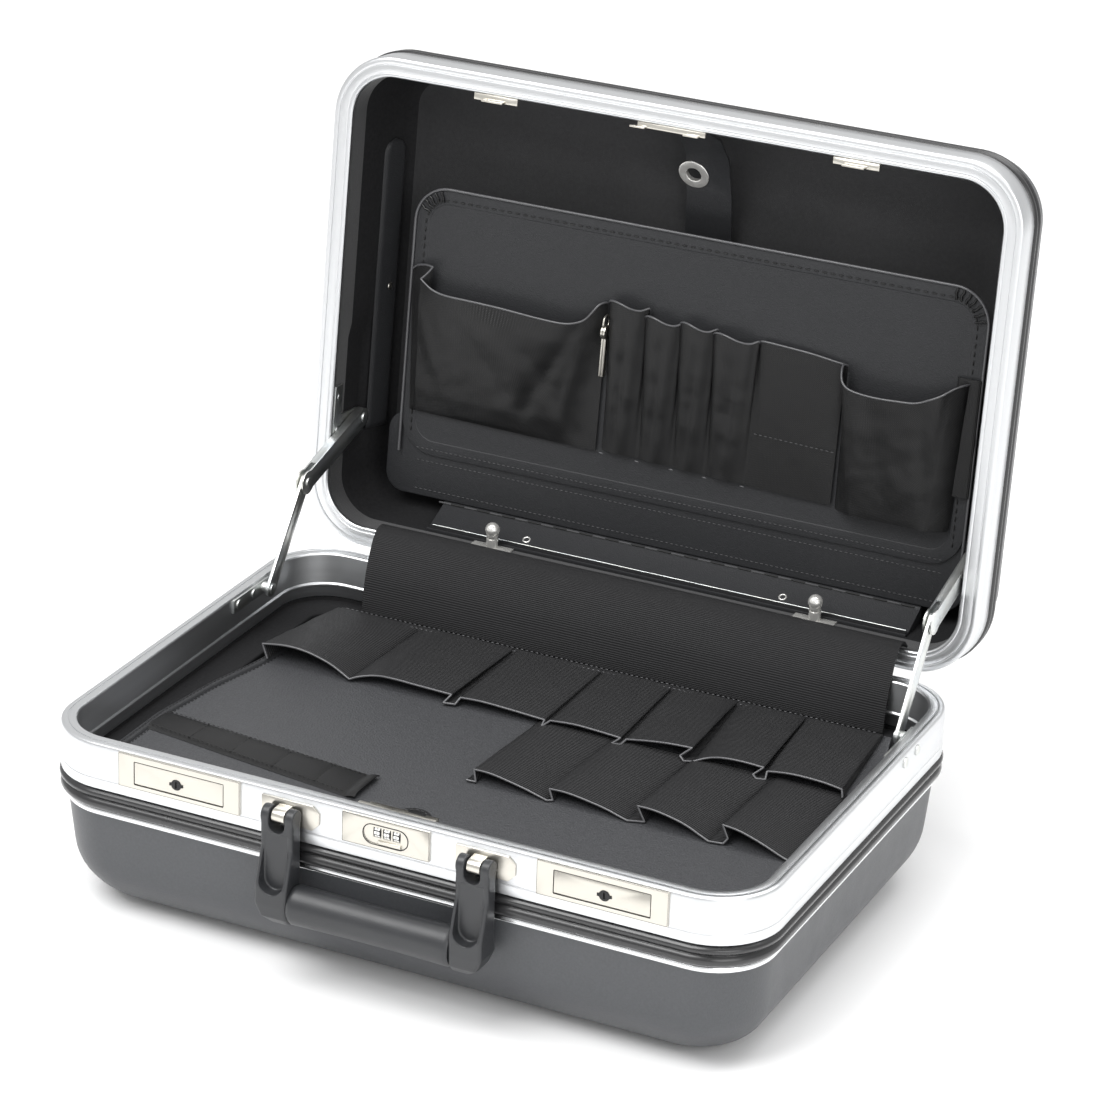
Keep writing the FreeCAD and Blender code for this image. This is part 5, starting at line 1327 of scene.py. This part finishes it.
class CASE_OT_board(bpy.types.Operator):
    """Makes the folding tool board in the lid, its ledge and studs"""
    bl_idname = "case.board"
    bl_label = "Lid board"

    def execute(self, context):
        face = PARTING / MM + BOARD_DEPTH
        panel = plate("panel", (-195.6, -75.1, face + 4), (209.6, 108.6, face + 0.4), 24, 0.6, 14,
                      border=9.5, sunk=0.35)
        skirt = plate("skirt", (-206, 82, face + 6.3), (213, 138.6, face + 2.0), 14, 0.8, 10)
        obj = joined("lid_board_panel", [panel, skirt])
        finished(obj, "board", "leatherette", "lining_leatherette", "lid_board")
        line = [on_board(x, y, 0.2) for x, y in arch_path(-196.3, 210.3, -75.8, 109.3, 24.4, 12)]
        edge = smooth(tube("lid_board_piping", line, 0.95 * MM, 10), 60)
        finished(edge, "board", "piping", "board_binding", "lid_board_binding")
        self.border()
        self.gathers()
        self.low_seams()
        machined_piece("lid_ledge", "lid", "leatherette", "lining_leatherette", 0.5, 3)
        self.ledge_trim()
        for side in SIDES:
            machined_piece("stud_" + side, "lid", "chrome", "hardware_nickel", 0.3, 3)
        return {"FINISHED"}

    def border(self):
        """The board's sewn border, in large stitches."""
        path = [Vector((x, y, 0)) for x, y in arch_path(-188.6, 202.6, -68.2, 96, 18, 10)]
        inner = [(point.x, point.y) for point, _ in along_path(path, 2.0)]
        border = sewn_line("lid_board_border_stitches", inner, on_board, -0.12, 1.6)
        finished(border, "board", "dark", "lining_leatherette")

    def gathers(self):
        """The small creases where the board's folded cover turns its two far corners."""
        ridges = []
        left = (-171.9, (207, 219, 230, 242, 254))
        right = (185.9, (272, 284, 297, 309, 322, 335, 348))
        for centre, angles in (left, right):
            for k, angle in enumerate(angles):
                line = []
                for n in range(6):
                    r = 15.5 + 1.5 * n
                    turn = math.radians(angle) + 0.02 * math.sin(n * 1.7 + k)
                    h = 0.1 + 0.7 * math.sin(n / 5 * math.pi)
                    line.append(on_board(centre + r * math.cos(turn), -51.4 + r * math.sin(turn), h))
                ridges.append(tube("ridge", line, 0.85 * MM))
        finished(smooth(joined("lid_board_gathers", ridges), 80), "board", "cloth", "lining_leatherette")

    def low_seams(self):
        """The three sewn lines across the board's lower part."""
        lines = [sewn_line("line", straight(-184, y, 198, y), on_board, h)
                 for y, h in ((104.5, -0.3), (113.6, -1.9), (133.6, -1.9))]
        finished(joined("lid_board_stitches", lines), "board", "thread", "lining_leatherette")

    def ledge_trim(self):
        """The ledge's dashed fold, a bright zinc cord painted as the highlight along its edge, a felt strip
        painted as the shade under it and two ring rivets.
        """
        pitch = 19.2
        for material, word, first in (("thread", "light", -163.0), ("dark", "dark", -153.4)):
            dashes = []
            for k in range(18):
                line = [lid_point(first + pitch * k + 3.0 * n, 139.5, 45.1) for n in range(4)]
                dashes.append(tube("dash", line, 0.55 * MM, 6))
            dashes = smooth(joined("ledge_fold_" + word, dashes), 80)
            finished(dashes, "lid", material, "lining_leatherette")
        # A bright zinc cord painted as the highlight along the ledge's edge.
        line = [ledge_point(-158 + 342 * n / 40, 0.95, 0.35 + 0.05 * math.sin(n)) for n in range(41)]
        finished(smooth(tube("ledge_painted_highlight", line, 0.42 * MM), 80), "lid", "zinc", "hardware_nickel")

        def place(u, v):
            return lid_point(-159.6 + 345.2 * u, 150.85, 26.7 - 4.4 * v)

        # A strip of the darker felt painted as the shade under the ledge.
        foot = pad("ledge_painted_shade", 60, 3, place, (0.345, 0.005), 0.3, 0)
        finished(foot, "lid", "felt", "lining_leatherette")
        rings = []
        for x in (-90.0, 96.0):
            clear_selection()
            bpy.ops.mesh.primitive_torus_add(major_radius=2.3 * MM, minor_radius=0.6 * MM,
                                             major_segments=28, minor_segments=10)
            ring = bpy.context.object
            turn = LEDGE_FACING.to_track_quat("Z", "X").to_matrix().to_4x4()
            ring.data.transform(Matrix.Translation(ledge_point(x, 0.72, 0.3)) @ turn)
            rings.append(ring)
        finished(smooth(joined("ledge_rivets", rings), 80), "lid", "chrome", "hardware_nickel")


def seam_under(mouth, start, end, height):
    """The evenly sewn line under a mouth, from one (x, y) to another, with its height at each share."""
    count = len(mouth) - 1
    line = []
    for k in range(count + 1):
        t = k / count
        line.append((start[0] + (end[0] - start[0]) * t, start[1] + (end[1] - start[1]) * t, height(t)))
    return line


def ridge(x, y, x0, y0, x1, y1, width, height):
    """The height at (x, y) of one soft fold that runs from (x0, y0) to (x1, y1)."""
    along = Vector((x1 - x0, y1 - y0))
    away = Vector((x - x0, y - y0))
    t = max(0.0, min(1.0, away.dot(along) / along.length_squared))
    return height * math.exp(-((away - along * t).length / width) ** 2)


class CASE_OT_board_pockets(bpy.types.Operator):
    """Sews the pockets on the lid's board"""
    bl_idname = "case.board_pockets"
    bl_label = "Lid pockets"

    def execute(self, context):
        self.large()
        self.loops()
        self.phone()
        self.side_strip()
        return {"FINISHED"}

    def sew(self, name, mouth, sewn, node_name, crease, growth, seed, rows):
        obj = sewn_cloth(name, mouth, sewn, on_board, rows, growth, crease, seed, 0.5)
        finished(obj, "board", "cloth", "pocket_cloth", node_name)
        edge = finished(piping(name + "_piping", mouth, on_board), "board", "piping", "pocket_cloth")

    def large(self):
        """The large pocket, whose mouth folds back on itself in a pleat near its left end."""
        corners = [(-195, -18.3, 1, 0), (-190.7, -21.6, 3, 0), (-183.8, -23.4, 5, 0),
                   (-177.7, -23.2, 6.5, 1), (-180.4, -18.9, 8, 0), (-184.2, -14.5, 10, 1),
                   (-178.5, -11.2, 11.5, 0), (-172.8, -8.8, 12.5, 0), (-163.2, -7.3, 13.5, 0),
                   (-146.5, -7.1, 14, 0), (-122.5, -6.6, 14.5, 0), (-100.3, -5.2, 14.5, 0),
                   (-79.3, -4.4, 14, 0), (-69, -6.0, 13, 0), (-62, -9.5, 11.5, 0),
                   (-57.7, -15.5, 9.5, 0), (-54.5, -20.3, 7, 0), (-51.6, -21.4, 3, 0),
                   (-50.8, -20.5, 1, 0)]
        pleat_x, pleat_y = corners[5][:2]
        mouth = [tuple(p) for p in creased(corners, 3)]
        count = len(mouth) - 1
        fold = min(range(count), key=lambda k: abs(mouth[k][0] - pleat_x) + abs(mouth[k][1] - pleat_y))
        sewn = []
        for k in range(count + 1):
            share = 0.035 * k / fold if k < fold else 0.035 + 0.965 * (k - fold) / (count - fold)
            sewn.append((-190 + 139 * share, 78.5 + 2 * share, 1.3))
        folds = ((-176, -14, -120, 52, 7, -2.4), (-140, -10, -84, 60, 9, 1.8), (-70, -2, -104, 62, 6, -2.6),
                 (-60, -8, -78, 70, 4.5, 1.9), (-186, 0, -160, 72, 5, 1.4), (-100, 24, -66, 74, 6, -1.4))

        def crease(x, y, v):
            if not 0 < v < 1:
                return 0
            return sum(ridge(x, y, *fold) for fold in folds) * math.sin(math.pi * min(1.0, v * 1.02)) ** 0.6

        def growth(v):
            return min(1.0, 0.25 + 0.9 * v) * min(1.0, v * 6) ** 0.5

        self.sew("lid_large_pocket", mouth, sewn, "lid_pocket_large", crease, growth, 31, 40)

    def loops(self):
        """Four pen loops and the flat pocket beside them, in one sheet of cloth."""
        seams = (-47.5, -21.0, 4.0, 28.0, 57.5)
        tops = (-22.5, -17.0, -17.5, -15.0)
        mouth = []
        sewn = []

        def low(x):
            return 78.5 + 3 * (x + 48) / 105

        def bulge(t):
            return 1.2 + 1.6 * math.sin(math.pi * t)

        for a, b, y in zip(seams, seams[1:], tops):
            span = b - a
            points = [(a + 0.6, y + 3, 1.0), (a - 1.2, y, 4.5), (a + 1.5, y - 2.2, 7.5),
                      (a + span * 0.25, y - 2.4, 9.6), (a + span * 0.45, y - 1, 10.2),
                      (a + span * 0.65, y + 0.6, 9.6), (b - 4.5, y + 1.2, 7.5), (b - 1.6, y + 0.2, 5.0),
                      (b + 1.2, y - 1.0, 3.2), (b - 0.6, y + 3.0, 1.0)]
            line = through(points, 2)
            mouth += line
            sewn += seam_under(line, (a + 1, low(a)), (b - 1, low(b)), bulge)
        flat = [(58.2, -14.5, 1.0), (59.5, -16, 2.4), (66, -16.2, 3.0), (80, -15.5, 3.2), (95, -14.5, 3.0),
                (110, -12.5, 2.6), (117, -11.5, 1.8), (118, -11, 1.0)]
        line = through(flat, 3)
        mouth += line
        sewn += seam_under(line, (58.5, 82), (117.5, 83.5), lambda t: 1.3)

        def crease(x, y, v):
            if not 0 < v < 1 or x > 57:
                return 0
            k = max(j for j in range(4) if x >= seams[j] - 2 or j == 0)
            t = (x - seams[k]) / (seams[k + 1] - seams[k])
            hollow = math.exp(-((t - 0.35 - 0.25 * v) / 0.10) ** 2)
            crest = math.exp(-((t - 0.62 - 0.12 * v) / 0.12) ** 2)
            return (crest * 1.1 - hollow * 1.7) * math.sin(math.pi * v) ** 0.7

        def growth(v):
            return min(1.0, 0.15 + 0.95 * v)

        mouth = [tuple(p) for p in mouth]
        self.sew("lid_pen_loops", mouth, sewn, "lid_pocket_loops", crease, growth, 41, 36)
        tacks = [sewn_line("tack", [(x - 2.5, y), (x + 4.5, y + 0.6)], on_board, 3.4, 1.5)
                 for x, y in ((-46, 80.2), (-20, 80.8), (5, 81.4), (29, 82.0), (56, 82.6))]
        finished(joined("lid_loop_tacks", tacks), "board", "piping", "pocket_cloth")
        seam = sewn_line("lid_flat_stitches", straight(60, 46, 116, 47.5), on_board, 2.9)
        finished(seam, "board", "thread", "pocket_cloth")

    def phone(self):
        """The pocket with a U-shaped mouth at the board's right."""
        points = [(119.5, -11, 1.0), (118, -12, 6), (120, -6, 12), (123, -2, 15), (128, 0.4, 16.4),
                  (136, 1.6, 17), (148, 2.0, 17.4), (160, 1.4, 17.5), (173, 0.4, 17.2), (182, -3.4, 16.6),
                  (189, -7, 15), (193, -10, 12), (197, -12.6, 9.0), (201.5, -14.5, 5), (203, -14, 1.0)]
        mouth = [tuple(p) for p in through(points, 3)]

        def bulge(t):
            return 1.0 + 9.0 * min(1.0, 6 * t, 6 * (1 - t)) ** 0.7

        sewn = seam_under(mouth, (121, 84.5), (199, 84.5), bulge)

        def crease(x, y, v):
            if not 0 < v < 1:
                return 0
            sides = math.exp(-((x - 131 - 6 * v) / 4.5) ** 2) - math.exp(-((x - 185 + 8 * v) / 4.5) ** 2)
            middle = math.exp(-((x - 158 + 14 * v) / 6) ** 2)
            return (1.5 * sides - 1.1 * middle) * math.sin(math.pi * v)

        self.sew("lid_phone_pocket", mouth, sewn, "lid_pocket_phone", crease, lambda v: v ** 0.7, 51, 34)

    def side_strip(self):
        """The narrow band of cloth at the board's right edge."""
        def place(u, v):
            x = 194 + 17 * u
            y = -18 + 78 * v
            h = 1.6 + 0.8 * math.sin(math.pi * u) ** 0.5 if 0 < u < 1 else 0.6
            return on_board(x, y, h + 0.3 * drift(x, y, 14, 4))

        obj = pad("lid_side_strip", 10, 40, place, (0.017, 0.078), 0.8)
        finished(obj, "board", "cloth", "pocket_cloth")


class CASE_OT_keys(bpy.types.Operator):
    """Makes the two keys on their ring"""
    bl_idname = "case.keys"
    bl_label = "Keys"

    def execute(self, context):
        machined_piece("keys", "board", "nickel", "hardware_nickel", 0.2)
        return {"FINISHED"}


class CASE_OT_strap(bpy.types.Operator):
    """Makes the lid's strap and its eyelet"""
    bl_idname = "case.strap"
    bl_label = "Strap"

    def execute(self, context):
        machined_piece("lid_strap", "lid", "leatherette", "lining_leatherette", 0.4)
        machined_piece("strap_eyelet", "lid", "chrome", "hardware_nickel", 0.5, 3)
        return {"FINISHED"}


class CASE_OT_stage(bpy.types.Operator):
    """Sets the floor, the light and the camera"""
    bl_idname = "case.stage"
    bl_label = "Stage"

    def execute(self, context):
        clear_selection()
        bpy.ops.mesh.primitive_plane_add(size=30, location=(0, 0, 0))
        floor = bpy.context.object
        floor.name = "studio_floor"
        f = Finish("floor", "studio floor", (0.93, 0.93, 0.93), 0.6)
        f.tint(f.grain(0.8), (0.95, 0.95, 0.95))
        floor.data.materials.append(f.material)
        self.world(context.scene)
        self.light("key", (-0.7, -1.3, 2.4), (0, 0.05, 0.15), 1.7, 62)
        self.light("top", (0.5, 0.7, 2.6), (0, 0.0, 0.1), 2.0, 40)
        self.light("fill", (1.9, -1.8, 1.3), (0, 0, 0.2), 1.6, 22)
        self.camera(context.scene)
        return {"FINISHED"}

    def world(self, scene):
        """A white background, which lights the object less strongly than it shows."""
        scene.world = bpy.data.worlds.new("studio")
        scene.world.use_nodes = True
        tree = scene.world.node_tree
        tree.nodes.clear()
        path = tree.nodes.new("ShaderNodeLightPath")
        seen = node(tree, "ShaderNodeBackground", Color=(1, 1, 1, 1))
        soft = node(tree, "ShaderNodeBackground", Color=(1, 1, 1, 1), Strength=0.75)
        mix = tree.nodes.new("ShaderNodeMixShader")
        out = tree.nodes.new("ShaderNodeOutputWorld")
        tree.links.new(path.outputs["Is Camera Ray"], mix.inputs[0])
        tree.links.new(soft.outputs[0], mix.inputs[1])
        tree.links.new(seen.outputs[0], mix.inputs[2])
        tree.links.new(mix.outputs[0], out.inputs[0])

    def light(self, name, place, target, size, power):
        clear_selection()
        bpy.ops.object.light_add(type="AREA", location=place)
        lamp = bpy.context.object
        lamp.name = name + "_softbox"
        lamp.data.shape = "SQUARE"
        lamp.data.size = size
        lamp.data.energy = power
        lamp.rotation_euler = (Vector(target) - Vector(place)).to_track_quat("-Z", "Y").to_euler()

    def camera(self, scene):
        """The camera as solved from the case's straight edges and corners."""
        data = bpy.data.cameras.new("product_camera")
        camera = bpy.data.objects.new("product_camera", data)
        scene.collection.objects.link(camera)
        right = Vector((0.8995562, 0.4355587, 0.0329745))
        up = Vector((-0.2021105, 0.3481156, 0.9154053))
        back = Vector((0.3872338, -0.8301230, 0.4011805))
        turn = Matrix((right, up, back)).transposed().to_4x4()
        camera.matrix_world = Matrix.Translation((1.0169, -2.1259, 1.2612)) @ turn
        data.lens = 137.85
        data.sensor_width = 36
        data.shift_x = -0.0001
        data.shift_y = 0.0024
        data.clip_end = 60
        scene.camera = camera
        scene.view_settings.view_transform = "Standard"


GROUPS = {"case_shell_sizes": CaseShellSizes, "case_cloth_sizes": CaseClothSizes,
          "case_colours": CaseColours}
OPERATORS = (CASE_OT_finishes, CASE_OT_shells, CASE_OT_frames, CASE_OT_linings, CASE_OT_hinges,
             CASE_OT_stays, CASE_OT_latches, CASE_OT_lock, CASE_OT_handle, CASE_OT_tray,
             CASE_OT_tray_pockets, CASE_OT_board, CASE_OT_board_pockets, CASE_OT_keys, CASE_OT_strap,
             CASE_OT_stage)


class CASE_PT_panel(bpy.types.Panel):
    """Lists the case's sizes, colours and building steps"""
    bl_idname = "CASE_PT_panel"
    bl_label = "Hard tool case"
    bl_space_type = "VIEW_3D"
    bl_region_type = "UI"
    bl_category = "Tool case"

    def draw(self, context):
        for name, group in GROUPS.items():
            box = self.layout.box()
            for key in group.__annotations__:
                box.prop(getattr(context.scene, name), key)
        for operator in OPERATORS:
            self.layout.operator(operator.bl_idname)


CLASSES = (*GROUPS.values(), *OPERATORS, CASE_PT_panel)


def register():
    for item in CLASSES:
        bpy.utils.register_class(item)
    for name, group in GROUPS.items():
        setattr(bpy.types.Scene, name, PointerProperty(type=group))


def unregister():
    for name in GROUPS:
        delattr(bpy.types.Scene, name)
    for item in reversed(CLASSES):
        bpy.utils.unregister_class(item)


def main():
    register()
    for operator in OPERATORS:
        getattr(bpy.ops.case, operator.bl_idname.split(".")[1])()


if __name__ == "__main__":
    main()
